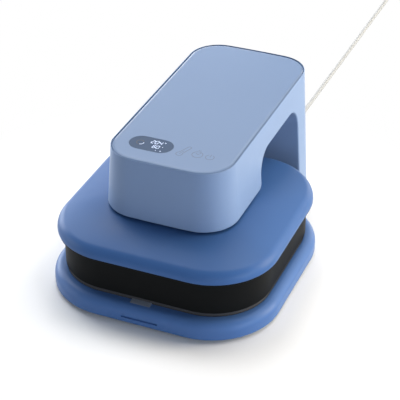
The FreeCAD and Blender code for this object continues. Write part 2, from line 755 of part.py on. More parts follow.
def make_drive_pinion():
    y, z = value("hinge_y"), value("drive_z")
    teeth = int(value("pinion_teeth"))
    step = 2 * math.pi / teeth
    edges, start, end = toothed_edge(teeth, [math.pi + (i + 0.5) * step for i in range(teeth)], y, z)
    edges.append(Part.LineSegment(end, start).toShape())
    width = value("gear_width")
    wheel = Part.Face(Part.Wire(edges)).extrude(vector(width, 0, 0))
    shaft = Part.makeCylinder(value("shaft_radius"), 2.5 * width, vector(-width / 4, y, z), vector(1, 0, 0))
    return place(feature("drive_pinion", wheel.fuse(shaft)), x="-sector_inner - gear_width")


def make_gearbox():
    x = "-sector_inner + bridge_thick + 2"
    can = rod("gearbox_can", "x", "gearbox_radius", "gearbox_length", x, "hinge_y", "drive_z")
    bore = rod("gearbox_bore", "x", "shaft_radius + running_gap", "2 * gear_width", x, "hinge_y", "drive_z")
    return cut("gearbox", can, [bore])


def make_gear_motor():
    x = "-sector_inner + bridge_thick + 2 + gearbox_length"
    return rod("gear_motor", "x", "motor_radius", "motor_length", x, "hinge_y", "drive_z")


def make_motor_bridge():
    # A sheet across the column that carries the gearbox on a flange
    low = "drive_z + gearbox_radius + 2"
    deck = block("bridge_deck", ("-sheet_half", "sheet_half"), ("post_back", "post_back + sheet_post"),
                 (low, low + " + bridge_thick"))
    flange = block("bridge_flange", ("-sector_inner + 2", "-sector_inner + 2 + bridge_thick"),
                   ("post_back", "hinge_y + 1.2 * motor_radius"), ("drive_z - gearbox_radius + 2", low))
    bore = rod("bridge_bore", "x", "shaft_radius + 2", "2 * bridge_thick", "-sector_inner", "hinge_y",
               "drive_z")
    return cut("motor_bridge", fuse("bridge_solid", [deck, flange]), [bore])


# Arm

def arm_outline(body, name, level, inward="0", shape_level=None):
    # The arm flares downwards from the top panel's outline
    drop = "(arm_top - (%s))" % (shape_level or level)
    flare = "%s * tan(arm_draft)" % drop
    lean = "%s * tan(arm_rear_draft)" % drop
    width = "panel_width + 2 * (arm_rim + %s - (%s))" % (flare, inward)
    depth = "panel_depth + 2 * (arm_rim - (%s)) + %s + %s" % (inward, flare, lean)
    corner = "panel_corner + arm_rim + %s - (%s)" % (flare, inward)
    return rounded(body, name, level, width, depth, corner, "arm_y + (%s - %s) / 2" % (lean, flare),
                   "panel_bulge")


def make_arm_outer():
    body = new_body("arm_outer")
    shoulder = "arm_top - arm_edge"
    loft(body, arm_outline(body, "arm_foot", "arm_low"), arm_outline(body, "arm_shoulder", shoulder))
    loft(body, arm_outline(body, "arm_bevel", shoulder),
         arm_outline(body, "arm_head", "arm_top", "arm_edge"))
    return body


def make_arm_cavity():
    body = new_body("arm_cavity")
    loft(body, arm_outline(body, "hollow_foot", "arm_low - 1", "arm_wall"),
         arm_outline(body, "hollow_head", "ledge_low", "arm_wall"))
    return body


def make_passage(name, grow, low):
    # The hand opening side to side, grown all round, with its sides run down to a level
    body = new_body(name)
    front = "mouth_front - (%s)" % grow
    back = "mouth_back + (%s)" % grow
    top = "opening_top + (%s)" % grow
    corners = [(front, low), (back, low), (back, top), (front, top)]
    sketch = polygon(body, name + "_side", "YZ_Plane", corners)
    pad(body, sketch, "2 * panel_width", midplane=True)
    ends = [across_at(front, top), across_at(back, top)]
    fillet(body, name + "_corners", "opening_corner + (%s)" % grow,
           lambda edge: any(end(edge) for end in ends))
    return body


def make_opening_liner(outer):
    # A bent sheet that lines the hand opening and closes its mouths flush with the arm's sides
    strip = common("liner_strip", [outer, make_passage("liner_outside", "arm_wall", "-2")])
    under_box = block("liner_front_end", ("-panel_width", "panel_width"),
                      ("mouth_front - 2 * arm_wall", "mouth_front + 1"), ("-3", "box_low"))
    over_tail = block("liner_tail_end", ("-tail_half - tail_clear", "tail_half + tail_clear"),
                      ("mouth_back - 1", "mouth_back + 2 * arm_wall"), ("-3", "tail_top + tail_clear"))
    return cut("opening_liner", strip, [make_passage("hand_opening", "0", "-3"), under_box, over_tail])


def make_arm_shell(outer):
    panel_seat = new_body("panel_seat")
    outline = rounded(panel_seat, "seat_outline", "seat_top", "panel_width + 2 * panel_gap",
                      "panel_depth + 2 * panel_gap", "panel_corner + panel_gap", "arm_y", "panel_bulge")
    pad(panel_seat, outline, "panel_thick + 1")
    window = new_body("panel_window")
    hole = rounded(window, "window_outline", "ledge_low - 1", inset("panel_width", "panel_ledge"),
                   inset("panel_depth", "panel_ledge"), "panel_corner - panel_ledge", "arm_y", "panel_bulge")
    pad(window, hole, "arm_wall + 2")
    under_box = block("under_box", ("-panel_width", "panel_width"),
                      ("box_front - panel_corner", "mouth_front + 1"), ("-1", "box_low"))
    over_tail = block("over_tail", ("-tail_half - tail_clear", "tail_half + tail_clear"),
                      ("mouth_back - 1", "hinge_y + 2 * cheek_length"), ("-1", "tail_top + tail_clear"))
    heel = new_body("heel_slope")
    start, rise = "hinge_y + heel_back", "2 * cheek_length"
    slope = polygon(heel, "heel_side", "YZ_Plane", [
        (start, "arm_low"), (start, "-2"), (start + " + " + rise, "-2"),
        (start + " + " + rise, "arm_low + %s * tan(heel_angle)" % rise)])
    pad(heel, slope, "2 * panel_width", midplane=True)
    notch = block("cord_notch", ("cord_x - notch_half", "cord_x + notch_half"),
                  ("hinge_y + tail_round", "hinge_y + 2 * cheek_length"), ("tail_top", "notch_top"))
    mouths = make_passage("arm_mouths", "arm_wall + liner_gap", "-2")
    return cut("arm_shell", outer, [make_arm_cavity(), mouths, panel_seat, window, under_box,
                                    over_tail, heel, notch])


def pill(name, radius, low, height):
    # The display's long round-ended shape
    y = "platen_y + lens_y"
    middle = block(name + "_middle", ("lens_x - lens_straight", "lens_x + lens_straight"),
                   ("%s - (%s)" % (y, radius), "%s + %s" % (y, radius)), (low, "%s + %s" % (low, height)))
    ends = [rod(name + "_left", "z", radius, height, "lens_x - lens_straight", y, low),
            rod(name + "_right", "z", radius, height, "lens_x + lens_straight", y, low)]
    return fuse(name, [middle] + ends)


def make_top_panel():
    body = new_body("panel_body")
    outline = rounded(body, "panel_outline", "seat_top", "panel_width", "panel_depth", "panel_corner",
                      "arm_y", "panel_bulge")
    pad(body, outline, "panel_thick")
    fillet(body, "panel_edge_round", "panel_edge", at_level("arm_top"))
    seat = pill("lens_seat", "lens_radius", "arm_top - lens_thick", "lens_thick + 1")
    window = pill("lens_window", "lens_radius - 3", "seat_top - 1", "panel_thick")
    rings = []
    for i in range(3):
        x = "key_x + %d * key_pitch" % i
        spot = (x, "platen_y + lens_y", "arm_top - key_depth")
        rim = rod("key_rim_%d" % i, "z", "key_radius + key_line", "1", *spot)
        rings.append(cut("key_ring_%d" % i, rim, [rod("key_face_%d" % i, "z", "key_radius", "1", *spot)]))
    return cut("top_panel", body, [seat, window] + rings)


def make_display_lens():
    return pill("display_lens", "lens_radius - lens_gap", "arm_top - lens_thick", "lens_thick")


def make_display_board():
    y = "platen_y + lens_y"
    half = "(lens_straight + lens_radius)"
    return block("display_board", ("lens_x - " + half, "lens_x + " + half),
                 (y + " - lens_radius", y + " + lens_radius"), ("seat_top - board_thick", "seat_top"))


def make_touch_board():
    y = "platen_y + lens_y"
    rim = "1.3 * key_radius"
    return block("touch_board", ("key_x - " + rim, "key_x + 2 * key_pitch + " + rim),
                 (y + " - " + rim, y + " + " + rim), ("seat_top - board_thick", "seat_top"))


# Steel frame inside the arm

frame_front = "platen_y + sheet_front"
frame_leg = "platen_y + sheet_leg"
frame_low = "head_plate_level + head_plate_thick"
spacer_spots = [
    (frame_front + " + 2 * spacer_radius", "sheet_top - sheet_band / 2"),
    ("(mouth_front + mouth_back) / 2", "sheet_top - sheet_band / 2"),
    ("post_back + sheet_post / 2", "sheet_top - sheet_band / 2"),
    ("post_back + sheet_post / 2", "drive_z + 4 * gearbox_radius"),
]


def make_arm_plate(name, side):
    x = "sheet_half" if side > 0 else "-sheet_half - sheet_thick"
    body = new_body(name + "_body")
    beam_low = "sheet_top - sheet_band"
    behind = "post_back + sheet_post"
    outline = polygon(body, name + "_side", "YZ_Plane", [
        (frame_front, frame_low), (frame_leg, frame_low), (frame_leg, beam_low), ("post_back", beam_low),
        ("post_back", "hinge_z + 3 * hub_radius"), ("hinge_y - hub_radius", "hinge_z"),
        ("hinge_y + hub_radius", "hinge_z"), (behind, "hinge_z + 5 * hub_radius"), (behind, "sheet_top"),
        (frame_front, "sheet_top")], x)
    pad(body, outline, "sheet_thick")
    hub = rod(name + "_hub", "x", "hub_radius", "sheet_thick", x, "hinge_y", "hinge_z")
    bore = rod(name + "_bore", "x", "pin_radius + hinge_bush_wall", "sheet_thick", x, "hinge_y", "hinge_z")
    holes = [rod("%s_hole_%d" % (name, i), "x", "screw_radius", "sheet_thick", x, y, z)
             for i, (y, z) in enumerate(spacer_spots)]
    return cut(name, fuse(name + "_solid", [body, hub]), [bore] + holes)


def make_hinge_bushes():
    bushes = []
    length = "(sheet_thick + sheet_half - tail_half)"
    for side in (-1, 1):
        start = "(tail_half + sheet_half) / 2"
        x = start if side > 0 else "-%s - %s" % (start, length)
        wall = rod("bush_wall_%d" % (side + 1), "x", "pin_radius + hinge_bush_wall", length,
                   x, "hinge_y", "hinge_z")
        bore = rod("bush_bore_%d" % (side + 1), "x", "pin_radius + running_gap", length,
                   x, "hinge_y", "hinge_z")
        bushes.append(cut("hinge_bush_%d" % (side + 1), wall, [bore]))
    return group("hinge_bushes", bushes)


def make_frame_spacers():
    spacers = []
    for i, (y, z) in enumerate(spacer_spots):
        bar = rod("spacer_bar_%d" % i, "x", "spacer_radius", "2 * sheet_half", "-sheet_half", y, z)
        holes = [rod("spacer_hole_%d_left" % i, "x", "screw_radius", "screw_length", "-sheet_half", y, z),
                 rod("spacer_hole_%d_right" % i, "x", "screw_radius", "screw_length",
                     "sheet_half - screw_length", y, z)]
        spacers.append(cut("frame_spacer_%d" % i, bar, holes))
    return group("frame_spacers", spacers)


def make_frame_screws():
    length = "screw_length + sheet_thick"
    screws = []
    for i, (y, z) in enumerate(spacer_spots):
        screws.append(rod("frame_screw_%d_left" % i, "x", "screw_radius", length,
                          "-sheet_half - sheet_thick", y, z))
        screws.append(rod("frame_screw_%d_right" % i, "x", "screw_radius", length,
                          "sheet_half - screw_length", y, z))
    return group("frame_screws", screws)


def post_spots():
    return [("%d * post_spread_x" % i, y) for i in (-1, 1) for y in ("post_y_front", "post_y_rear")]


def upright(name, radius, low, height):
    # One rod at each guide post's place
    return [rod("%s_%d" % (name, i), "z", radius, height, x, y, low)
            for i, (x, y) in enumerate(post_spots())]


def make_head_plate():
    wide = block("head_plate_wide", ("-sheet_half - sheet_thick", "sheet_half + sheet_thick"),
                 (frame_front, frame_leg), ("head_plate_level", frame_low))
    nose = block("head_plate_nose", ("-head_nose_half", "head_nose_half"),
                 ("platen_y + head_nose_front", frame_front), ("head_plate_level", frame_low))
    plate = fuse("head_plate_solid", [wide, nose])
    return cut("head_plate", plate, upright("head_hole", "post_radius + bush_wall", "head_plate_level",
                                            "head_plate_thick"))


def make_head_spacers():
    # Short posts between the head plate and the cover under the front box
    rows = (frame_front + " + 2 * spacer_radius", "(%s + %s) / 2" % (frame_front, frame_leg))
    spots = [("%d * (sheet_half - 2 * spacer_radius)" % i, y) for i in (-1, 1) for y in rows]
    return group("head_spacers", [
        rod("head_spacer_%d" % i, "z", "spacer_radius", "head_plate_level - box_low - arm_wall", x, y,
            "box_low + arm_wall") for i, (x, y) in enumerate(spots)])


def make_guide_bushes():
    walls = upright("guide_wall", "post_radius + bush_wall", "head_plate_level", "bush_length")
    bores = upright("guide_bore", "post_radius + running_gap", "head_plate_level", "bush_length")
    return group("guide_bushes", [cut("guide_bush_%d" % i, wall, [bore])
                                  for i, (wall, bore) in enumerate(zip(walls, bores))])


def make_box_cover():
    body = new_body("box_cover_body")
    outline = arm_outline(body, "box_cover_outline", "box_low", "arm_wall + part_gap", "box_low + arm_wall")
    pad(body, outline, "arm_wall")
    behind = block("behind_box_cover", ("-panel_width", "panel_width"),
                   ("mouth_front - arm_wall - part_gap", "mouth_front + panel_depth"),
                   ("box_low - 1", "seat_top"))
    holes = upright("box_cover_hole", "spring_radius + 1", "box_low - 1", "3 * arm_wall")
    return cut("box_cover", body, [behind] + holes)


def make_column_cover():
    # Closes the column above the tail, with slots for the sector gear and the cord
    body = new_body("column_cover_body")
    level = "tail_top + 2 * tail_clear"
    outline = arm_outline(body, "column_cover_outline", level, "arm_wall + part_gap", level + " + arm_wall")
    pad(body, outline, "arm_wall")
    far = "2 * panel_depth"
    front = block("before_column", ("-panel_width", "panel_width"),
                  ("-" + far, "mouth_back + arm_wall + part_gap"), ("0", "notch_top"))
    reach_y, reach_z = ("-" + far, far), ("0", "notch_top")
    sides = [block("beside_column_left", ("-panel_width", "-sheet_half"), reach_y, reach_z),
             block("beside_column_right", ("sheet_half", "panel_width"), reach_y, reach_z)]
    reach = "sector_pitch * 0.6"
    slot = block("sector_window", ("-sector_inner - gear_width - 3", "-sector_inner + 3"),
                 ("hinge_y - %s" % reach, "hinge_y + %s" % reach), ("0", "notch_top"))
    notch = block("cord_window", ("cord_x - notch_half", "cord_x + notch_half"),
                  ("hinge_y + tail_round", far), ("0", "notch_top"))
    return cut("column_cover", body, [front, slot, notch] + sides)


def make_board(name, side):
    # A circuit board on four standoffs, on the inner face of an arm plate
    stand = "3 * spacer_radius / 4"
    face = ("sheet_half - %s - board_thick" % stand, "sheet_half - %s" % stand)
    post = ("sheet_half - %s" % stand, "sheet_half")
    if side < 0:
        face, post = [("-(%s)" % pair[1], "-(%s)" % pair[0]) for pair in (face, post)]
    low, high = frame_low + " + 8", "sheet_top - sheet_band - 6"
    front, back = frame_front + " + 6", frame_leg + " - 6"
    pieces = [block(name + "_sheet", face, (front, back), (low, high))]
    for i, y in enumerate((front + " + 5", back + " - 5")):
        for j, z in enumerate((low + " + 5", high + " - 5")):
            pieces.append(rod("%s_post_%d_%d" % (name, i, j), "x", "3", stand, post[0], y, z))
    return fuse(name, pieces)


# Platen

def platen_outline(body, name, level, inward):
    return rounded(body, name, level, inset("platen_width", inward), inset("platen_depth", inward),
                   "platen_corner - (%s)" % inward, "platen_y")


def crown_outline(body, name, level, inward):
    # The crown's flat top lies under the front box
    width = "panel_width + 2 * (arm_rim + (arm_top - box_low) * tan(arm_draft)) - 2 * (%s)" % inward
    front = "(box_front - (arm_top - box_low) * tan(arm_draft))"
    return rounded(body, name, level, width, "mouth_front - %s - 2 * (%s)" % (front, inward),
                   "panel_corner + arm_rim - (%s)" % inward, "(mouth_front + %s) / 2" % front)


def make_platen_cover():
    body = new_body("cover_body")
    pad(body, platen_outline(body, "cover_outline", "cover_low", "0"), "cover_edge - cover_low")
    loft(body, platen_outline(body, "crown_root", "cover_edge", "0"),
         crown_outline(body, "crown_head", "crown_top", "crown_inset"))
    fillet(body, "cover_roll_round", "cover_roll", at_level("cover_edge"))
    pocket(body, platen_outline(body, "cover_hollow", "cover_low - 1", "cover_wall"),
           "cover_ceiling - cover_low + 1", upwards=True)
    fillet(body, "cover_hollow_rounding", "cover_hollow_round", at_level("cover_ceiling"))
    loft(body, platen_outline(body, "crown_hollow", "cover_ceiling", "3 * cover_wall"),
         crown_outline(body, "crown_hollow_head", "crown_top - cover_wall", "crown_inset + cover_wall"),
         subtract=True)
    return cut("platen_cover", body, upright("cover_hole", "spring_radius + 1", "cover_low", "crown_top"))


def make_heat_skirt():
    body = new_body("heat_skirt")
    pad(body, platen_outline(body, "skirt_flange", "rim_low", "rim_inset"), "rim_thick")
    pad(body, platen_outline(body, "skirt_wall_outline", "skirt_low", "skirt_inset"), "rim_low - skirt_low")
    pocket(body, platen_outline(body, "skirt_hollow", "skirt_low - 1", "skirt_inset + skirt_wall"),
           "cover_low - skirt_low + 2", upwards=True)
    return body


def plate_post_spots():
    return [("%d * plate_post_spread" % i, "platen_y + %d * plate_post_spread" % j)
            for i in (-1, 1) for j in (-1, 1)]


def plate_posts(name, radius, low, height):
    return [rod("%s_%d" % (name, i), "z", radius, height, x, y, low)
            for i, (x, y) in enumerate(plate_post_spots())]


def make_carrier_plate():
    body = new_body("carrier_plate")
    pad(body, platen_outline(body, "carrier_outline", "cover_low", "carrier_inset"), "carrier_thick")
    return body


def make_heat_plate():
    body = new_body("heat_plate")
    pad(body, platen_outline(body, "heat_outline", "heat_low", "heat_inset"), "heat_thick")
    return body


def make_insulation():
    body = new_body("insulation_body")
    pad(body, platen_outline(body, "insulation_outline", "insulation_low", "heat_inset + insulation_inset"),
        "insulation_thick")
    holes = plate_posts("insulation_hole", "plate_post_radius + part_gap", "insulation_low",
                        "insulation_thick")
    well = rod("thermostat_well", "z", "element_pitch / 4 + part_gap", "insulation_thick", "0",
               "platen_y + element_pitch / 2", "insulation_low")
    return cut("insulation", body, holes + [well])


def make_thermostat():
    return rod("thermostat", "z", "element_pitch / 4", "insulation_thick / 2", "0",
               "platen_y + element_pitch / 2", "heat_top")


def make_heater_element():
    # Seven runs side to side, joined by half circles
    half, pitch, radius = value("element_half"), value("element_pitch"), value("element_radius")
    edges = []
    for run in range(7):
        y = (run - 3) * pitch
        side = 1 if run % 2 == 0 else -1
        start, end = vector(-side * half, y), vector(side * half, y)
        edges.append(Part.LineSegment(start, end).toShape())
        if run < 6:
            turn = [end, vector(side * (half + pitch / 2), y + pitch / 2), vector(side * half, y + pitch)]
            edges.append(Part.Arc(*turn).toShape())
    path = Part.Wire(edges)
    section = Part.Wire(Part.makeCircle(radius, vector(-half, -3 * pitch), vector(1, 0, 0)))
    tube = path.makePipeShell([section], True, False)
    return place(feature("heater_element", tube), y="platen_y", z="heat_top + element_radius")


def make_disc_springs():
    # Stacks of disc springs round the guide posts, drawn as one folded ring each
    low, high = value("carrier_top"), value("spring_top")
    inner, outer = value("post_radius + 2 * part_gap"), value("spring_radius")
    folds = 2 * int(value("spring_discs"))
    step = (high - low) / folds
    width = value("spring_sheet") * (outer - inner) / step
    points = [vector(outer if fold % 2 else inner + width, 0, low + fold * step)
              for fold in range(folds + 1)]
    points += [vector(outer - width if fold % 2 else inner, 0, low + fold * step)
               for fold in reversed(range(folds + 1))]
    face = Part.Face(Part.makePolygon(points + points[:1]))
    ring = face.revolve(vector(0, 0, 0), vector(0, 0, 1), 360)
    stacks = []
    for i, (x, y) in enumerate(post_spots()):
        stacks.append(place(feature("disc_spring_%d" % i, ring), x, y))
    return group("disc_springs", stacks)


def make_post_collars():
    rings = upright("collar_ring", "collar_radius", "collar_low", "collar_thick")
    bores = upright("collar_bore", "post_radius", "collar_low", "collar_thick")
    return group("post_collars", [cut("post_collar_%d" % i, ring, [bore])
                                  for i, (ring, bore) in enumerate(zip(rings, bores))])


# Cord and plug

def arc_tube(name, points, radius):
    # Straight runs joined by arcs as large as the runs allow
    spots = [vector(*point) for point in points]
    edges = []
    bends = []
    start = spots[0]
    for before, corner, after in zip(spots, spots[1:], spots[2:]):
        into, out = (corner - before), (after - corner)
        turn = into.getAngle(out)
        reach = 0.45 * min(into.Length, out.Length)
        bends.append(reach / math.tan(turn / 2))
        into.normalize()
        out.normalize()
        near, far = corner - into * reach, corner + out * reach
        inward = (out - into).normalize()
        sag = bends[-1] * (1 / math.cos(turn / 2) - 1)
        edges.append(Part.LineSegment(start, near).toShape())
        edges.append(Part.Arc(near, corner + inward * sag, far).toShape())
        start = far
    edges.append(Part.LineSegment(start, spots[-1]).toShape())
    path = Part.Wire(edges)
    section = Part.Wire(Part.makeCircle(radius, spots[0], spots[1] - spots[0]))
    tube = path.makePipeShell([section], True, False)
    print("%s: length %.0f mm, radii from %.0f mm, volume / (section x length) %.4f" % (
        name, path.Length, min(bends), tube.Volume / (math.pi * radius ** 2 * path.Length)))
    return feature(name, tube)


def coil_centre():
    # The cord meets its outer turn at the coil's side
    return cord_points()[-1][0] - value("coil_radius + cord_radius"), value("coil_y")


def cord_points():
    x, back, level, floor = (value(text) for text in ("cord_x", "relief_back", "hinge_z", "cord_radius"))
    return [
        (x, back, level),
        (x, back + 42, level - 2.5),
        (x - 0.4, back + 97, floor + 2),
        (x - 1.2, back + 170, floor),
        (x - 0.6, back + 275, floor),
        (x + 5.2, value("coil_y") - 110, floor),
        (x + 5.5, value("coil_y"), floor),
    ]


def make_cord():
    return arc_tube("cord", cord_points(), value("cord_radius"))


def make_cord_coil():
    # Two turns side by side, and a quarter turn on top of them
    x, y = coil_centre()
    radius, middle = value("cord_radius"), value("coil_radius")
    up = vector(0, 0, 1)
    pieces = []
    for r in (middle - radius, middle + radius):
        pieces.append(Part.makeTorus(r, radius, vector(x, y, radius), up))
    flat = Part.makeCylinder(middle + radius, 2 * radius, vector(x, y, 0))
    pieces.append(flat.cut(Part.makeCylinder(middle - radius, 2 * radius, vector(x, y, 0))))
    level = value("3 * cord_radius - part_gap")
    quarter = Part.makeTorus(middle, radius, vector(x, y, level), up, -180, 180, 90)
    return feature("cord_coil", pieces[0].multiFuse(pieces[1:] + [quarter]).removeSplitter())


def tail_points():
    x, y = coil_centre()
    top, level = y + value("coil_radius"), 3 * value("cord_radius")
    return [(x, top, level), (x - 26, top + 0.4, level), (x - 52, top + 1.8, value("plug_height / 2"))]


def make_cord_tail():
    return arc_tube("cord_tail", tail_points(), value("cord_radius"))


def make_plug():
    # A tapered sleeve, a moulded body and three blades, pointing to the left
    x, y, z = tail_points()[-1]
    length, width, height = value("plug_length"), value("plug_width"), value("plug_height")
    sleeve_length, blade, spread = value("plug_sleeve"), value("blade_length"), value("blade_spread")
    left = vector(-1, 0, 0)
    front = x - sleeve_length - length
    narrow, wide = value("cord_radius + 2"), value("plug_height / 2 - 1")
    sleeve = Part.makeCone(narrow, wide, sleeve_length, vector(x, y, z), left)
    body = Part.makeBox(length, width, height, vector(front, y - width / 2, z - height / 2))
    body = body.makeFillet(value("plug_round"), body.Edges)
    pieces = [body]
    for side in (-1, 1):
        corner = vector(front - blade, y + (side * spread - value("blade_thick")) / 2, z - 1.5)
        pieces.append(Part.makeBox(blade + 1, value("blade_thick"), value("blade_height"), corner))
    earth = vector(front + 1, y, z - spread / 2)
    pieces.append(Part.makeCylinder(value("earth_radius"), blade + 4, earth, left))
    return feature("plug", sleeve.multiFuse(pieces).removeSplitter())


def make_strain_relief():
    back = "hinge_y + tail_round"
    root = rod("relief_root", "y", "relief_radius", "3 * tail_wall", "cord_x", back + " - 3 * tail_wall",
               "hinge_z")
    sleeve = cone("relief_sleeve", "y", "relief_radius", "cord_radius + 0.7", "relief_length",
                  "cord_x", back, "hinge_z")
    return fuse("strain_relief", [root, sleeve])


# Assembly

keep("base_shell", make_base_shell())
keep("bottom_plate", make_bottom_plate())
make_feet()
keep("press_bed", make_press_bed())
keep("bed_posts", make_bed_posts())
keep("base_screws", make_base_screws())
keep("pressing_mat", make_mat())
keep("mat_tab", make_mat_tab())
keep("hinge_bracket_left", make_hinge_bracket("hinge_bracket_left", -1))
keep("hinge_bracket_right", make_hinge_bracket("hinge_bracket_right", 1))
keep("hinge_pin_left", make_hinge_pin("hinge_pin_left", -1))
keep("hinge_pin_right", make_hinge_pin("hinge_pin_right", 1))
keep("pin_clips", make_pin_clips())
keep("sector_gear", make_sector_gear())
keep("strain_relief", make_strain_relief())
keep("cord", make_cord())
keep("cord_coil", make_cord_coil())
keep("cord_tail", make_cord_tail())
keep("plug", make_plug())

arm_outer = make_arm_outer()
keep("arm_shell", make_arm_shell(arm_outer))
keep("opening_liner", make_opening_liner(arm_outer))
keep("top_panel", make_top_panel())
keep("display_lens", make_display_lens())
keep("display_board", make_display_board())
keep("touch_board", make_touch_board())
keep("control_board", make_board("control_board", -1))
keep("power_board", make_board("power_board", 1))
keep("arm_plate_left", make_arm_plate("arm_plate_left", -1))
keep("arm_plate_right", make_arm_plate("arm_plate_right", 1))
keep("hinge_bushes", make_hinge_bushes())
keep("frame_spacers", make_frame_spacers())
keep("frame_screws", make_frame_screws())
keep("head_plate", make_head_plate())
keep("head_spacers", make_head_spacers())
keep("guide_bushes", make_guide_bushes())
keep("motor_bridge", make_motor_bridge())
keep("gearbox", make_gearbox())
keep("gear_motor", make_gear_motor())
keep("box_cover", make_box_cover())
keep("column_cover", make_column_cover())
keep("drive_pinion", make_drive_pinion())

keep("platen_cover", make_platen_cover())
keep("heat_skirt", make_heat_skirt())
keep("carrier_plate", make_carrier_plate())
keep("guide_posts", group("guide_posts", upright("guide_post", "post_radius", "carrier_top",
                                                 "collar_top + collar_thick - carrier_top")))
keep("post_collars", make_post_collars())
keep("disc_springs", make_disc_springs())
keep("plate_posts", group("plate_posts", plate_posts("plate_post", "plate_post_radius", "heat_top",
                                                     "cover_low - heat_top")))
keep("insulation", make_insulation())
keep("heater_element", make_heater_element())
keep("heat_plate", make_heat_plate())
keep("thermostat", make_thermostat())

doc.recompute()

failed = [thing.Name for thing in doc.Objects if "Invalid" in thing.State or "Error" in thing.State]
failed += [name for name, thing in nodes.items()
           if thing.Shape.isNull() or not thing.Shape.isValid() or not thing.Shape.Volume > 1]
if failed:
    raise RuntimeError("failed: " + ", ".join(failed))

os.makedirs("parts", exist_ok=True)
for name, thing in nodes.items():
    thing.Shape.exportStep(os.path.join("parts", name + ".step"))
print(len(nodes), "nodes")
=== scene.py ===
# Automatic heat press, closed: its main shells, the finish of every surface, its mains cord and a studio
import json
import math

import bmesh
import bpy
from mathutils.bvhtree import BVHTree
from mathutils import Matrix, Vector


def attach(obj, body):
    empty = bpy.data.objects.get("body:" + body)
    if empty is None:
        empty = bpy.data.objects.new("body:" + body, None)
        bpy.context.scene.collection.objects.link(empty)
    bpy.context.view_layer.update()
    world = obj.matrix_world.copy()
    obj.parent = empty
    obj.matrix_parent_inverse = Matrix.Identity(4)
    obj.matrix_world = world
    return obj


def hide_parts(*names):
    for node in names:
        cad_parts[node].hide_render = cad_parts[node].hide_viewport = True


mm = 0.001  # sizes below are in millimetres, apart from the studio's
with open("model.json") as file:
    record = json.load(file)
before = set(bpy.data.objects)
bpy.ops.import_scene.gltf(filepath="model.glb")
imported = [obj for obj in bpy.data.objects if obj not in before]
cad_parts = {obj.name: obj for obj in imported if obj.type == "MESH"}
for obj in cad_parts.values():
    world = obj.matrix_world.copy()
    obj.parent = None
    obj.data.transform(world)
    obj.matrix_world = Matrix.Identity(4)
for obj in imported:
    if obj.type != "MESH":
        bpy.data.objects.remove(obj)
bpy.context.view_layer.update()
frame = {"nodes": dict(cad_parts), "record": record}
bpy.context.scene.view_settings.view_transform = "Standard"
print("stage: frame loaded,", len(frame["nodes"]), "nodes")


# Shader maths

class Term:
    # A socket that reads like a number in sums
    def __init__(self, finish, socket):
        self.finish = finish
        self.socket = socket

    def sum(self, operation, first, second):
        return self.finish.node("ShaderNodeMath", {"operation": operation}, {0: first, 1: second})

    def __add__(self, other):
        return self.sum("ADD", self, other)

    def __sub__(self, other):
        return self.sum("SUBTRACT", self, other)

    def __rsub__(self, other):
        return self.sum("SUBTRACT", other, self)

    def __mul__(self, other):
        return self.sum("MULTIPLY", self, other)

    __radd__ = __add__
    __rmul__ = __mul__


class Finish:
    # A material, a world or a node group, and the nodes that make it
    def __init__(self, name, owner=None):
        self.material = owner or bpy.data.materials.new(name)
        self.tree = owner
        if not isinstance(owner, bpy.types.NodeTree):
            self.material.use_nodes = True
            self.tree = self.material.node_tree
        self.tree.nodes.clear()

    def node(self, kind, settings=None, sockets=None, output=0):
        made = self.tree.nodes.new(kind)
        for name, setting in (settings or {}).items():
            setattr(made, name, setting)
        for name, given in (sockets or {}).items():
            if isinstance(given, Term):
                self.tree.links.new(given.socket, made.inputs[name])
            else:
                made.inputs[name].default_value = given
        return Term(self, made.outputs[output]) if made.outputs else None

    def here(self):
        return self.node("ShaderNodeTexCoord", output="Object")

    def axes(self):
        # Each of the three object coordinates as a number
        split = self.node("ShaderNodeSeparateXYZ", {}, {0: self.here()})
        return [Term(self, socket) for socket in split.socket.node.outputs]

    def place(self, stretch=(1, 1, 1)):
        return self.node("ShaderNodeMapping", {}, {"Vector": self.here(), "Scale": stretch})

    def noise(self, scale, detail=2, stretch=(1, 1, 1)):
        return self.node("ShaderNodeTexNoise", {}, {
            "Vector": self.place(stretch), "Scale": scale, "Detail": detail})

    def tint(self, mask, low, high):
        return self.node("ShaderNodeMix", {"data_type": "RGBA"}, {0: mask, 6: low, 7: high}, 2)

    def bump(self, height, depth):
        return self.node("ShaderNodeBump", {}, {"Height": height, "Distance": depth})

    def surface(self, colour, roughness, **more):
        sockets = {"Base Color": colour, "Roughness": roughness}
        sockets.update({name.replace("_", " "): given for name, given in more.items()})
        skin = self.node("ShaderNodeBsdfPrincipled", {}, sockets)
        self.node("ShaderNodeOutputMaterial", {}, {"Surface": skin})
        return self.material


def colour(red, green, blue, share=1.0):
    # A screen colour as the shader takes it, lighter or darker by a share
    return tuple(min(1, share * (tone / 255) ** 2.2) for tone in (red, green, blue)) + (1,)


# Finishes

# The lacquer on the panel's rounded edge: where it starts and fades in, and where wear has thinned it
rim = {"level": 277.76, "fade": 0.25, "front": -158, "wear": 32, "gloss": 0.1}


def rimLacquer(finish):
    # 1 where the surface rolls over below a level, less along the front
    forward, up = finish.axes()[1:]
    over = finish.node("ShaderNodeMapRange", {}, {
        "Value": up, "From Min": rim["level"] * mm, "From Max": (rim["level"] - rim["fade"]) * mm})
    kept = finish.node("ShaderNodeMapRange", {"interpolation_type": "SMOOTHSTEP"}, {
        "Value": forward, "From Min": rim["front"] * mm, "From Max": (rim["front"] + rim["wear"]) * mm})
    return over * kept


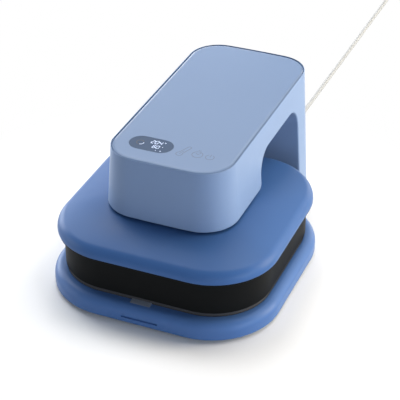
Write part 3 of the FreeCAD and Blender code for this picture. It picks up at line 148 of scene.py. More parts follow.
def mouldedPlastic(name, tone, roughness, pebble=0.012, blotch=0.1, lacquered=False, **more):
    # Broad drift in the moulding, a fine spark-eroded pebble and soft blotches in the gloss
    finish = Finish(name)
    drift = finish.noise(5, 3)
    grain = finish.noise(1700, 2)
    haze = finish.noise(38, 4)
    mask = drift * 0.8 + grain * 0.2
    gloss = roughness + (haze - 0.5) * blotch + (grain - 0.5) * 0.05
    if lacquered:
        more.update(Coat_Weight=rimLacquer(finish), Coat_Roughness=rim["gloss"])
    return finish.surface(finish.tint(mask, colour(*tone, 0.94), colour(*tone, 1.06)), gloss,
                          Normal=finish.bump(grain, pebble * mm), **more)


def metal(name, tone, roughness, stretch=(1, 1, 1), **more):
    # Drawn or ground metal with fine lines along one way and a faint stain
    finish = Finish(name)
    lines = finish.noise(900, 3, stretch)
    stain = finish.noise(14, 4)
    shade = finish.tint(lines * 0.6 + stain * 0.4, colour(*tone, 0.82), colour(*tone, 1.1))
    return finish.surface(shade, roughness + (lines - 0.5) * 0.2 + (stain - 0.5) * 0.12, Metallic=1.0,
                          Normal=finish.bump(lines, 0.01 * mm), **more)


def wovenCloth(name, tone, pitch, relief):
    # Plain weave: crossing threads from two waves, with loose fibres over them
    finish = Finish(name)
    turns = 2 * math.pi / (pitch * mm)
    across, along = finish.axes()[:2]

    def wave(run):
        return finish.node("ShaderNodeMath", {"operation": "SINE"}, {0: run * turns})

    threads = wave(across) * wave(along) * 0.5 + 0.5
    fibre = finish.noise(2600, 4)
    worn = finish.noise(9, 3)
    height = threads * 0.75 + fibre * 0.25
    mask = threads * 0.45 + fibre * 0.35 + worn * 0.2
    return finish.surface(finish.tint(mask, colour(*tone, 0.6), colour(*tone, 1.45)),
                          0.9 - fibre * 0.12, Sheen_Weight=0.1, Normal=finish.bump(height, relief * mm))


def blanketWool():
    finish = Finish("blanketWool")
    tufts = finish.noise(160, 6)
    return finish.surface(finish.tint(tufts, colour(196, 190, 172), colour(236, 233, 222)), 0.95,
                          Normal=finish.bump(tufts, 0.8 * mm))


def circuitBoard():
    # Solder mask with lighter tracks under it
    finish = Finish("circuitBoard")
    tracks = finish.node("ShaderNodeTexVoronoi", {"feature": "DISTANCE_TO_EDGE"}, {
        "Vector": finish.place(), "Scale": 240})
    line = finish.node("ShaderNodeMath", {"operation": "LESS_THAN"}, {0: tracks, 1: 0.09})
    return finish.surface(finish.tint(line, colour(18, 74, 44), colour(40, 118, 72)), 0.32 + line * 0.1,
                          Normal=finish.bump(line, 0.03 * mm))


def smokedLens():
    # A tinted window whose tone drifts at random
    finish = Finish("smokedLens")
    haze = finish.noise(24, 2)
    speck = finish.noise(900, 2)
    return finish.surface(finish.tint(haze, colour(54, 69, 92), colour(64, 80, 104)),
                          0.4 + speck * 0.06, Specular_IOR_Level=0.08)


def litMark():
    finish = Finish("litMark")
    glow = finish.noise(400, 1)
    tone = finish.tint(glow, colour(176, 192, 224), colour(196, 210, 238))
    return finish.surface(tone, 0.4, Emission_Color=tone, Emission_Strength=0.15)


def printedLine():
    finish = Finish("printedLine")
    wear = finish.noise(700, 3)
    return finish.surface(finish.tint(wear, colour(66, 82, 108), colour(76, 93, 120)), 0.5)


def cordSheath():
    # Light vinyl with a faint ripple from its lay
    finish = Finish("cordSheath")
    ripple = finish.noise(60, 3)
    grain = finish.noise(1500, 2)
    return finish.surface(finish.tint(ripple, colour(142, 143, 143), colour(154, 155, 155)),
                          0.42 + grain * 0.1, Normal=finish.bump(ripple * 0.7 + grain * 0.3, 0.05 * mm))


finishes = {
    "base_blue": mouldedPlastic("baseBlue", (72, 103, 152), 0.35, Specular_IOR_Level=0.16),
    "arm_blue": mouldedPlastic("armBlue", (115, 135, 166), 0.35, Specular_IOR_Level=0.13),
    "cover_blue": mouldedPlastic("coverBlue", (59, 91, 139), 0.38, Specular_IOR_Level=0.16),
    "panel_blue": mouldedPlastic("panelBlue", (83, 107, 141), 0.34, 0.006, 0.03, lacquered=True,
                                 Specular_IOR_Level=0.32),
    "lens_dark": smokedLens(),
    "skirt_black": mouldedPlastic("skirtBlack", (22, 23, 23), 0.5, 0.03, Specular_IOR_Level=0.05),
    "inner_plastic": mouldedPlastic("innerPlastic", (58, 62, 70), 0.55, 0.03),
    "mat_cloth": wovenCloth("matCloth", (48, 48, 50), 1.1, 0.12),
    "tab_cloth": wovenCloth("tabCloth", (104, 112, 124), 0.7, 0.08),
    "insulation_wool": blanketWool(),
    "plate_aluminium": metal("plateAluminium", (150, 150, 152), 0.42),
    "sheet_steel": metal("sheetSteel", (176, 179, 184), 0.36, (1, 1, 14)),
    "polished_steel": metal("polishedSteel", (200, 202, 206), 0.16, (1, 12, 1)),
    "bush_brass": metal("bushBrass", (196, 160, 88), 0.28, (12, 1, 1)),
    "motor_paint": mouldedPlastic("motorPaint", (40, 41, 44), 0.45, 0.04),
    "gearbox_metal": metal("gearboxMetal", (158, 160, 163), 0.48),
    "board_green": circuitBoard(),
    "foot_rubber": mouldedPlastic("footRubber", (38, 38, 40), 0.75, 0.05),
    "cord_grey": cordSheath(),
}
markFinish = litMark()
lineFinish = printedLine()
for part in frame["record"]["subparts"]:
    skin = frame["nodes"][part["node"]].data.materials
    skin.clear()
    skin.append(finishes[part["material_slot"]])
print("stage: finishes made,", len(finishes))


# Mesh helpers

ringSteps = {"side": 7, "corner": 16, "end": 7}


def ringPoints(width, depth, corner, middleY, level, swell=0):
    # A rounded rectangle as a closed ring; with a swell its front and back are wide arcs
    halfX = width / 2
    halfY = depth / 2
    wide = halfX ** 2 / (2 * swell) if swell else 0
    wideY = halfY + swell - wide
    cornerX = halfX - corner
    cornerY = halfY - corner
    lean = math.pi / 2
    if swell:
        cornerY = wideY + math.sqrt((wide - corner) ** 2 - cornerX ** 2)
        lean = math.atan2(cornerY - wideY, cornerX)
    quarter = []
    for step in range(ringSteps["side"]):
        quarter.append((halfX, cornerY * step / ringSteps["side"]))
    for step in range(ringSteps["corner"]):
        angle = lean * step / ringSteps["corner"]
        quarter.append((cornerX + corner * math.cos(angle), cornerY + corner * math.sin(angle)))
    for step in range(ringSteps["end"]):
        share = step / ringSteps["end"]
        angle = lean + (math.pi / 2 - lean) * share
        if swell:
            quarter.append((wide * math.cos(angle), wideY + wide * math.sin(angle)))
        else:
            quarter.append((cornerX * (1 - share), halfY))
    back = halfY + swell
    rest = quarter[1:]
    ring = quarter + [(0, back)] + [(-x, y) for x, y in reversed(rest)] + [(-halfX, 0)]
    ring += [(-x, -y) for x, y in rest] + [(0, -back)] + [(x, -y) for x, y in reversed(rest)]
    return [Vector((x, middleY + y, level)) * mm for x, y in ring]


def skinRings(shape, rings, hoop=False):
    # Skins rings of as many points; a hoop joins its last ring to its first, else both ends are capped
    rows = [[shape.verts.new(point) for point in ring] for ring in rings]
    pairs = list(zip(rows, rows[1:]))
    if hoop:
        pairs.append((rows[-1], rows[0]))
    for low, high in pairs:
        for i in range(len(low)):
            after = (i + 1) % len(low)
            shape.faces.new((low[i], low[after], high[after], high[i]))
    if not hoop:
        shape.faces.new(list(reversed(rows[0])))
        shape.faces.new(rows[-1])


def loftRings(rings, hoop=False):
    shape = bmesh.new()
    skinRings(shape, rings, hoop)
    return shape


def arcSteps(radius, start, end, steps):
    # Points of an arc as pairs, angles in degrees
    spots = []
    for step in range(steps + 1):
        angle = math.radians(start + (end - start) * step / steps)
        spots.append((radius * math.cos(angle), radius * math.sin(angle)))
    return spots


def between(first, second, share):
    return first * (1 - share) + second * share


def roundedPath(corners, degrees=7):
    # A closed outline with each corner turned into an arc of its own radius
    path = []
    for i, (x, y, radius) in enumerate(corners):
        here = Vector((x, y))
        before = Vector(corners[i - 1][:2]) - here
        after = Vector(corners[(i + 1) % len(corners)][:2]) - here
        if not radius:
            path.append(here)
            continue
        before.normalize()
        after.normalize()
        half = before.angle(after) / 2
        middle = here + (before + after).normalized() * radius / math.sin(half)
        first = here + before * radius / math.tan(half) - middle
        last = here + after * radius / math.tan(half) - middle
        turn = first.angle_signed(last)
        steps = max(2, round(abs(math.degrees(turn)) / degrees))
        start = math.atan2(first.y, first.x)
        for step in range(steps + 1):
            angle = start - turn * step / steps
            path.append(middle + Vector((math.cos(angle), math.sin(angle))) * radius)
    return path


def prism(path, low, high, place):
    # A flat outline pulled between two levels; place turns (a, b, level) into a point
    rings = [[place(spot.x, spot.y, level) * mm for spot in path] for level in (low, high)]
    return loftRings(rings)


def sideways(y, z, x):
    return Vector((x, y, z))


def upright(x, y, z):
    return Vector((x, y, z))


def newPiece(name, shape, slot=None):
    bmesh.ops.remove_doubles(shape, verts=shape.verts, dist=0.001 * mm)
    bmesh.ops.recalc_face_normals(shape, faces=shape.faces)
    mesh = bpy.data.meshes.new(name)
    shape.to_mesh(mesh)
    shape.free()
    piece = bpy.data.objects.new(name, mesh)
    bpy.context.scene.collection.objects.link(piece)
    if slot:
        mesh.materials.append(finishes[slot])
    return piece


def settle(piece):
    # Turns a piece's live modifiers into its mesh
    graph = bpy.context.evaluated_depsgraph_get()
    mesh = bpy.data.meshes.new_from_object(piece.evaluated_get(graph))
    old = piece.data
    piece.modifiers.clear()
    piece.data = mesh
    mesh.name = piece.name
    bpy.data.meshes.remove(old)
    return piece


def shapeBy(piece, operation, shape):
    # Joins, cuts or keeps what another shape covers
    tool = newPiece("tool", shape)
    change = piece.modifiers.new("change", "BOOLEAN")
    change.operation = operation
    change.solver = "EXACT"
    change.object = tool
    settle(piece)
    mesh = tool.data
    bpy.data.objects.remove(tool)
    bpy.data.meshes.remove(mesh)
    return piece


def joinFlats(piece, angle=0.05):
    # Drops the edges inside flat faces, so that a bevel meets no slivers
    shape = bmesh.new()
    shape.from_mesh(piece.data)
    bmesh.ops.dissolve_limit(shape, angle_limit=math.radians(angle), verts=shape.verts, edges=shape.edges)
    shape.to_mesh(piece.data)
    shape.free()


def roundEdges(piece, width, steps, angle=35):
    edge = piece.modifiers.new("edges", "BEVEL")
    edge.width = width * mm
    edge.segments = steps
    edge.limit_method = "ANGLE"
    edge.angle_limit = math.radians(angle)
    edge.use_clamp_overlap = False
    edge.miter_outer = "MITER_ARC"
    return settle(piece)


def smooth(piece, angle=32):
    # Smooth shading with sharp edges, weighted so that flat faces stay flat
    piece.data.shade_smooth()
    piece.data.set_sharp_from_angle(angle=math.radians(angle))
    weigh = piece.modifiers.new("weigh", "WEIGHTED_NORMAL")
    weigh.keep_sharp = True
    return settle(piece)


def hollowRings(ring, sizes):
    # The inside of a shell: its ceiling, the rounded edge of it, and its wall down to the mouth
    rings = [ring(sizes["wall"] + inward, sizes["ceiling"] - down) for inward, down in sizes["hollow"]]
    return rings + [ring(sizes["wall"], sizes["low"])]


def present(piece, body, slot, *nodes):
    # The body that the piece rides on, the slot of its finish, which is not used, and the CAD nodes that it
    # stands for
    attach(piece, body)
    if nodes:
        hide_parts(*nodes)
    return piece


# Base

base = {
    "width": 430, "depth": 436, "corner": 129, "middleY": -72.4, "low": 6, "top": 40,
    "roll": 17.5, "lowerRound": 3, "wall": 5, "ceiling": 30.5, "hollow": ((9, 0), (2.6, 2.6), (0, 9)),
    "recessWidth": 387.8, "recessDepth": 385.7, "recessCorner": 107, "recessY": -70.9,
    "recessRound": 0.8, "recessDraft": 0.1, "floor": 34,
}
tail = {"half": 106, "start": 139, "hingeY": 234.1, "hingeZ": 22, "radius": 16, "edge": 4}
groove = {"half": 35.5, "middle": 18.3, "height": 3.8, "depth": 3, "draft": 0.3, "ahead": 5}


def baseRing(inset, level):
    return ringPoints(base["width"] - 2 * inset, base["depth"] - 2 * inset, base["corner"] - inset,
                      base["middleY"], level)


def recessRing(inset, level):
    return ringPoints(base["recessWidth"] - 2 * inset, base["recessDepth"] - 2 * inset,
                      base["recessCorner"] - inset, base["recessY"], level)


def tailShape():
    # The tongue under the column, rounded about the hinge and along its two sides
    rings = []
    side = tail["half"] - tail["edge"]
    for across, up in arcSteps(tail["edge"], 180, 90, 5)[:-1] + arcSteps(tail["edge"], 90, 0, 5)[1:]:
        x = across + (side if across > 0 else -side)
        radius = tail["radius"] - tail["edge"] + up
        section = [(tail["start"], tail["hingeZ"] - radius)]
        section += [(tail["hingeY"] + a, tail["hingeZ"] + b) for a, b in arcSteps(radius, -90, 90, 16)]
        section.append((tail["start"], tail["hingeZ"] + radius))
        rings.append([Vector((x, y, z)) * mm for y, z in section])
    return loftRings(rings)


def grooveShape():
    # What the front groove takes away: round ended, narrower towards its floor
    front = base["middleY"] - base["depth"] / 2
    depth, draft = groove["depth"], groove["draft"]
    rings = []
    for y, inset in ((-groove["ahead"], 0), (0, 0), (depth * 0.7, draft), (depth, draft * 2)):
        half, high = groove["half"] - inset, groove["height"] / 2 - inset
        low, top, turn = groove["middle"] - high, groove["middle"] + high, high * 0.98
        corners = ((-half, low), (half, low), (half, top), (-half, top))
        outline = roundedPath([(*corner, turn) for corner in corners], 15)
        rings.append([Vector((spot.x, front + y, spot.y)) * mm for spot in outline])
    return loftRings(rings)


def makeBaseShell():
    rings = hollowRings(baseRing, base)
    for across, up in arcSteps(base["lowerRound"], -90, 0, 5):
        rings.append(baseRing(base["lowerRound"] - across, base["low"] + base["lowerRound"] + up))
    for across, up in arcSteps(base["roll"], 0, 90, 14):
        rings.append(baseRing(base["roll"] - across, base["top"] - base["roll"] + up))
    edge = base["recessRound"]
    for across, up in arcSteps(edge, 90, 180, 3):
        rings.append(recessRing(-edge - across, base["top"] - edge + up))
    rings.append(recessRing(base["recessDraft"], base["floor"] + edge))
    rings.append(recessRing(base["recessDraft"] + edge, base["floor"]))
    shell = newPiece("baseShell", loftRings(rings), "base_blue")
    shapeBy(shell, "UNION", tailShape())
    shapeBy(shell, "DIFFERENCE", grooveShape())
    smooth(shell)
    return present(shell, "base", "base_blue", "base_shell")


makeBaseShell()
print("stage: base shell")


# Pressing mat and its tab

mat = {"width": 385.8, "depth": 383.7, "corner": 106, "middleY": -70.9, "low": 34.05, "top": 46,
       "binding": 4, "swell": 0.9, "lowerRound": 2, "seam": 8.4, "seamDepth": 0.9, "seamHalf": 1.4,
       "seamOuter": 0.2, "seamInner": 0.05, "field": (14, 24, 42, 64, 84, 98), "pull": 0.8, "fill": 0.8}
stitch = {"pitch": 4.4, "wide": 0.9, "long": 3.2, "sway": (0.05, 0.05, 0.1), "seed": 7, "lift": 0.1}
tab = {"x": -5, "half": 19, "front": -274.8, "back": -259.5, "low": 40.3, "thick": 0.9, "droop": 1.4,
       "lift": 0.05, "bend": 2, "bendRound": 3, "end": 1.1, "endRound": 0.5, "lean": 0.1, "edge": 0.15}


def matRing(inset, level):
    return ringPoints(mat["width"] - 2 * inset, mat["depth"] - 2 * inset, mat["corner"] - inset,
                      mat["middleY"], level)


def makePressingMat():
    # A thick pad: a rounded binding round its edge, a stitched seam, then the flat cloth
    bound, low = mat["binding"], mat["lowerRound"]
    crest = mat["top"] + mat["swell"]
    rings = []
    for across, up in arcSteps(low, -90, 0, 3):
        rings.append(matRing(low - across, mat["low"] + low + up))
    for across, up in arcSteps(bound, 0, 90, 9):
        rings.append(matRing((bound - across) * mat["pull"], crest - bound + up))
    seam, half, deep = mat["seam"], mat["seamHalf"], mat["seamDepth"]
    for inset, drop in ((seam - half, mat["seamOuter"]), (seam, deep), (seam + half / 2, deep * 0.8),
                        (seam + half, mat["seamInner"])):
        rings.append(matRing(inset, mat["top"] - drop))
    for inset in mat["field"]:
        rings.append(matRing(inset, mat["top"]))
    pad = newPiece("pressingMat", loftRings(rings), "mat_cloth")
    smooth(pad, 50)
    present(pad, "base", "mat_cloth", "pressing_mat")
    return pad


def rowOfStitches():
    # One thread stitch after another along a path, each a little askew
    group = bpy.data.node_groups.new("rowOfStitches", "GeometryNodeTree")
    group.interface.new_socket("Path", in_out="INPUT", socket_type="NodeSocketGeometry")
    for name, kind in (("Pitch", "Float"), ("Size", "Vector"), ("Sway", "Vector"), ("Seed", "Int"),
                       ("Thread", "Material")):
        group.interface.new_socket(name, in_out="INPUT", socket_type="NodeSocket" + kind)
    group.interface.new_socket("Row", in_out="OUTPUT", socket_type="NodeSocketGeometry")
    plan = Finish("rowOfStitches", group)
    inputs = plan.node("NodeGroupInput").socket.node.outputs
    given = {socket.name: Term(plan, socket) for socket in inputs if socket.name}
    line = plan.node("GeometryNodeMeshToCurve", {}, {"Mesh": given["Path"]})
    spots = plan.node("GeometryNodeCurveToPoints", {"mode": "LENGTH"}, {
        "Curve": line, "Length": given["Pitch"]})
    along = Term(plan, spots.socket.node.outputs["Rotation"])
    back = plan.node("ShaderNodeVectorMath", {"operation": "SCALE"}, {0: given["Sway"], "Scale": -1.0})
    askew = plan.node("FunctionNodeRandomValue", {"data_type": "FLOAT_VECTOR"}, {
        0: back, 1: given["Sway"], "Seed": given["Seed"]})
    turned = plan.node("FunctionNodeRotateRotation", {"rotation_space": "LOCAL"}, {0: along, 1: askew})
    thread = plan.node("GeometryNodeMeshUVSphere", {}, {"Segments": 8, "Rings": 6, "Radius": 0.5})
    row = plan.node("GeometryNodeInstanceOnPoints", {}, {
        "Points": spots, "Instance": thread, "Rotation": turned, "Scale": given["Size"]})
    real = plan.node("GeometryNodeRealizeInstances", {}, {"Geometry": row})
    dressed = plan.node("GeometryNodeSetMaterial", {}, {"Geometry": real, "Material": given["Thread"]})
    plan.node("NodeGroupOutput", {}, {"Row": dressed})
    return group


def makeMatStitches(pad):
    # The thread lies in the seam, as high as the pad is there
    surface = BVHTree.FromObject(pad, bpy.context.evaluated_depsgraph_get())
    shape = bmesh.new()
    verts = []
    up = Vector((0, 0, 1))
    for spot in matRing(mat["seam"], mat["top"] + mat["swell"]):
        hit = surface.ray_cast(spot, -up)[0]
        verts.append(shape.verts.new(hit + up * stitch["lift"] * mm))
    for first, second in zip(verts, verts[1:] + verts[:1]):
        shape.edges.new((first, second))
    piece = newPiece("matStitches", shape)
    modifier = piece.modifiers.new("stitches", "NODES")
    modifier.node_group = rowOfStitches()
    wide, long = stitch["wide"] * mm, stitch["long"] * mm
    values = {"Pitch": stitch["pitch"] * mm, "Size": (wide, wide, long), "Sway": stitch["sway"],
              "Seed": stitch["seed"], "Thread": finishes["tab_cloth"]}
    for socket in modifier.node_group.interface.items_tree:
        if socket.name in values:
            modifier[socket.identifier] = values[socket.name]
    settle(piece)
    smooth(piece, 60)
    return present(piece, "base", "tab_cloth")


def makeMatTab():
    # A folded tape: its loop hangs a little and its end is doubled
    low, front, back, side = tab["low"], tab["front"], tab["back"], tab["half"]
    bend, drop, top = front + tab["bend"], tab["droop"], low + tab["thick"]
    outline = roundedPath([
        (back, low + tab["lift"], 0), (bend, low - drop * 0.4, tab["bendRound"]),
        (front, low - drop, tab["endRound"]),
        (front - tab["lean"], low - drop + tab["end"], tab["endRound"]),
        (bend, top - drop * 0.3, tab["bendRound"]), (back, top, 0)], 20)
    piece = newPiece("matTab", prism(outline, tab["x"] - side, tab["x"] + side, sideways), "tab_cloth")
    roundEdges(piece, tab["edge"], 1, 60)
    smooth(piece, 50)
    return present(piece, "base", "tab_cloth", "mat_tab")


makeMatStitches(makePressingMat())
makeMatTab()
print("stage: mat and tab")


# Platen cover and heat skirt

cover = {"width": 415.8, "depth": 413.7, "corner": 121, "middleY": -70.9, "low": 116.5, "edge": 119.5,
         "roll": 21, "edgeSlope": 18, "top": 158, "lip": 1.2, "wall": 4, "ceiling": 132,
         "hollow": ((22, 0), (5, 1.5), (0, 7)), "crownSteps": 12,
         "crownWidth": 244, "crownDepth": 176, "crownCorner": 62, "crownY": -103, "crownPower": 1.4}
skirt = {"inset": 12, "wall": 3, "low": 47.3, "rimInset": 1.6, "rimLow": 112, "fillet": 5, "round": 1.2}


def coverRing(inset, level):
    return ringPoints(cover["width"] - 2 * inset, cover["depth"] - 2 * inset, cover["corner"] - inset,
                      cover["middleY"], level)


def makePlatenCover():
    # Edge lip, rolled edge, then rings that change from the edge's outline to the crown's
    rings = hollowRings(coverRing, cover)
    for across, up in arcSteps(cover["lip"], -90, 0, 4):
        rings.append(coverRing(cover["lip"] - across, cover["low"] + cover["lip"] + up))
    spots = arcSteps(cover["roll"], 0, 90 - cover["edgeSlope"], 12)
    for across, up in spots:
        rings.append(coverRing(cover["roll"] - across, cover["edge"] + up))
    inset = cover["roll"] - spots[-1][0]
    level = cover["edge"] + spots[-1][1]
    for step in range(1, cover["crownSteps"] + 1):
        share = step / cover["crownSteps"]
        width = between(cover["width"] - 2 * inset, cover["crownWidth"], share)
        depth = between(cover["depth"] - 2 * inset, cover["crownDepth"], share)
        corner = between(cover["corner"] - inset, cover["crownCorner"], share)
        middleY = between(cover["middleY"], cover["crownY"], share)
        rise = (cover["top"] - level) * (1 - (1 - share) ** cover["crownPower"])
        rings.append(ringPoints(width, depth, corner, middleY, level + rise))
    shell = newPiece("platenCover", loftRings(rings), "cover_blue")
    smooth(shell)
    return present(shell, "platen", "cover_blue", "platen_cover")


def makeHeatSkirt():
    inset, rim, fillet, edge = skirt["inset"], skirt["rimInset"], skirt["fillet"], skirt["round"]
    rings = [coverRing(inset + skirt["wall"], skirt["low"])]
    for across, up in arcSteps(edge, -90, 0, 4):
        rings.append(coverRing(inset + edge - across, skirt["low"] + edge + up))
    for across, up in arcSteps(fillet, 180, 90, 6):
        rings.append(coverRing(inset - fillet - across, skirt["rimLow"] - fillet + up))
    for across, up in arcSteps(edge, -90, 0, 4):
        rings.append(coverRing(rim + edge - across, skirt["rimLow"] + edge + up))
    rings += [coverRing(rim, cover["low"]), coverRing(inset + skirt["wall"], cover["low"])]
    shell = newPiece("heatSkirt", loftRings(rings, hoop=True), "skirt_black")
    smooth(shell)
    return present(shell, "platen", "skirt_black", "heat_skirt")


makePlatenCover()
makeHeatSkirt()
print("stage: platen")


# Arm

arm = {
    "width": 227.9, "depth": 458.9, "corner": 57.2, "swell": 3.7, "middleY": 46.6, "top": 277.8,
    "rim": 2.4, "draft": 3.8, "rearDraft": 2, "wall": 3, "low": 12, "boxLow": 162, "upperRound": 1.3,
    "mouthFront": -13.4, "mouthBack": 186.6, "mouthTop": 228.5, "mouthCorner": 42, "mouthRound": 12,
    "footRound": 6, "heelY": 257.1, "heelSlope": 30, "tailHalf": 109, "tailTop": 41, "edge": 3,
    "ledge": 271.3,
}
panel = {"seat": 274.3, "gap": 1.4, "ledge": 6, "rollIn": 6.5, "rollDown": 3.1}
lens = {"x": -43.9, "y": -126.9, "half": 18.9, "radius": 22.3, "gap": 0.2, "thick": 1.8, "round": 0.5}
notch = {"x": 18, "half": 17, "top": 62, "front": 245}
# How far the shapes that trim and cut the arm reach past it
past = {"all": 400, "under": -20, "inside": -30, "box": 100, "table": -9, "column": 9, "top": 5}


def armRing(level, inset=0):
    drop = arm["top"] - level
    flare = drop * math.tan(math.radians(arm["draft"]))
    lean = drop * math.tan(math.radians(arm["rearDraft"]))
    grow = arm["rim"] - inset
    return ringPoints(arm["width"] + 2 * (grow + flare), arm["depth"] + 2 * grow + flare + lean,
                      arm["corner"] + grow + flare, arm["middleY"] + (lean - flare) / 2, level,
                      arm["swell"])


def panelRing(inset, level):
    return ringPoints(arm["width"] - 2 * inset, arm["depth"] - 2 * inset, arm["corner"] - inset,
                      arm["middleY"], level, arm["swell"])


def armSide(grow, boxLow, columnLow, top):
    # The arm seen from the side: box, hand opening and column
    far = past["all"]
    front = arm["mouthFront"] - grow
    back = arm["mouthBack"] + grow
    ceiling = arm["mouthTop"] + grow
    corner = arm["mouthCorner"] + grow
    slope = math.tan(math.radians(arm["heelSlope"]))
    heel = columnLow + (far - arm["heelY"]) * slope
    return roundedPath([
        (-far, boxLow, 0), (front, boxLow, arm["mouthRound"]), (front, ceiling, corner),
        (back, ceiling, corner), (back, columnLow, arm["footRound"]), (arm["heelY"], columnLow, 0),
        (far, heel, 0), (far, top, 0), (-far, top, 0)])


def blockShape(x, y, z):
    path = [Vector((x[0], y[0])), Vector((x[1], y[0])), Vector((x[1], y[1])), Vector((x[0], y[1]))]
    return prism(path, z[0], z[1], upright)


def armHollow():
    wall, side = arm["wall"], arm["width"]
    rings = [armRing(past["inside"], wall), armRing(arm["ledge"], wall)]
    hollow = newPiece("armHollow", loftRings(rings))
    outline = armSide(wall, past["box"], past["inside"], arm["ledge"])
    shapeBy(hollow, "INTERSECT", prism(outline, -side, side, sideways))
    shape = bmesh.new()
    shape.from_mesh(hollow.data)
    bpy.data.objects.remove(hollow)
    return shape


def panelSeat():
    # The panel's step in the arm's top, wider above by the seam
    levels = ((panel["ledge"], arm["ledge"] - past["top"]), (panel["ledge"], panel["seat"]),
              (-panel["gap"], panel["seat"]), (-panel["gap"], arm["top"] + past["top"]))
    return loftRings([panelRing(inset, level) for inset, level in levels])


def makeArmShell():
    reach, side = arm["upperRound"], arm["width"]
    rings = [armRing(past["under"])]
    for across, up in arcSteps(reach, 0, 90, 5):
        rings.append(armRing(arm["top"] - reach + up, reach - across))
    shell = newPiece("armShell", loftRings(rings), "arm_blue")
    outline = armSide(0, arm["boxLow"], arm["low"], past["all"])
    shapeBy(shell, "INTERSECT", prism(outline, -side, side, sideways))
    joinFlats(shell)
    roundEdges(shell, arm["edge"], 4)
    # Room for the base's tail and for the cord
    for x, half, front, top in ((0, arm["tailHalf"], arm["mouthBack"] - past["column"], arm["tailTop"]),
                                (notch["x"], notch["half"], notch["front"], notch["top"])):
        room = blockShape((x - half, x + half), (front, past["all"]), (past["table"], top))
        shapeBy(shell, "DIFFERENCE", room)
    shapeBy(shell, "DIFFERENCE", armHollow())
    shapeBy(shell, "DIFFERENCE", panelSeat())
    smooth(shell)
    return present(shell, "head", "arm_blue", "arm_shell", "opening_liner")


def pillPath(radius):
    x, y, half = lens["x"], lens["y"], lens["half"]
    path = [Vector((x + half + a, y + b)) for a, b in arcSteps(radius, -90, 90, 24)]
    return path + [Vector((x - half + a, y + b)) for a, b in arcSteps(radius, 90, 270, 24)]


def makeTopPanel():
    rings = [panelRing(0, panel["seat"])]
    for across, up in arcSteps(1, 0, 90, 8):
        rings.append(panelRing(panel["rollIn"] * (1 - across), arm["top"] - panel["rollDown"] * (1 - up)))
    plate = newPiece("topPanel", loftRings(rings), "panel_blue")
    low, high = arm["top"] - lens["thick"], arm["top"] + past["top"]
    shapeBy(plate, "DIFFERENCE", prism(pillPath(lens["radius"]), low, high, upright))
    smooth(plate)
    return present(plate, "head", "panel_blue", "top_panel")


def makeDisplayLens():
    radius = lens["radius"] - lens["gap"]
    edge = lens["round"]
    rings = [[Vector((p.x, p.y, arm["top"] - lens["thick"])) * mm for p in pillPath(radius)]]
    for across, up in arcSteps(edge, 0, 90, 3):
        level = arm["top"] - edge + up
        rings.append([Vector((p.x, p.y, level)) * mm for p in pillPath(radius - edge + across)])
    window = newPiece("displayLens", loftRings(rings), "lens_dark")
    smooth(window)
    return present(window, "head", "lens_dark", "display_lens")


makeArmShell()
makeTopPanel()
makeDisplayLens()
print("stage: arm and panel")


# Marks on the display and the touch keys

digits = {"height": 9.4, "width": 5.2, "stroke": 1.25, "pitch": 7.2, "slant": 0.12, "right": -27.4,
          "hotY": -122.6, "timeY": -136.4, "timeShare": 0.95, "proud": 0.05, "thick": 0.15}
segments = {"0": "abcdef", "2": "abged", "4": "fgbc", "6": "afgcde"}
# Small signs by the digits: two rings by middle and radius, and dashes by start, end and width
signs = {
    "degree": (-21.6, -114.6, 1.0), "degreeLine": 0.7,
    "dial": (-64.8, -127.2, 6.6), "litLine": 1.2, "litFrom": -80, "litTo": 10,
    "darkLine": 1.5, "darkFrom": 20, "darkTo": 270,
    "dashes": (((-21.6, -128.4), (-20.4, -130.6), 0.8), ((-29.4, -142.8), (-28.2, -142.8), 1.2),
               ((-20.9, -142.8), (-18.9, -142.8), 2.0)),
}


def strokes(shape, path, width, level, thick):
    # A line of even width along a path, as a thin raised strip
    rows = []
    for i, here in enumerate(path):
        ahead = path[min(i + 1, len(path) - 1)] - path[max(i - 1, 0)]
        side = Vector((-ahead.y, ahead.x)).normalized() * width / 2
        left, right, top = here + side, here - side, level + thick
        corners = ((left, level), (right, level), (right, top), (left, top))
        rows.append([Vector((*spot, height)) * mm for spot, height in corners])
    skinRings(shape, rows)


def digitStrokes(shape, letter, x, y, share, level):
    high, wide = digits["height"] * share, digits["width"] * share
    inset = digits["stroke"] * 0.45
    spots = {"a": ((0, 1), (1, 1)), "b": ((1, 1), (1, 0.5)), "c": ((1, 0.5), (1, 0)), "d": ((1, 0), (0, 0)),
             "e": ((0, 0), (0, 0.5)), "f": ((0, 0.5), (0, 1)), "g": ((0, 0.5), (1, 0.5))}
    for key in segments[letter]:
        ends = [Vector((x + wide * a + digits["slant"] * high * b, y + high * b)) for a, b in spots[key]]
        back = (ends[1] - ends[0]).normalized() * inset
        strokes(shape, [ends[0] + back, ends[1] - back], digits["stroke"] * share, level, digits["thick"])


def circlePath(x, y, radius, start=0, end=360, steps=28):
    return [Vector((x + a, y + b)) for a, b in arcSteps(radius, start, end, steps)]


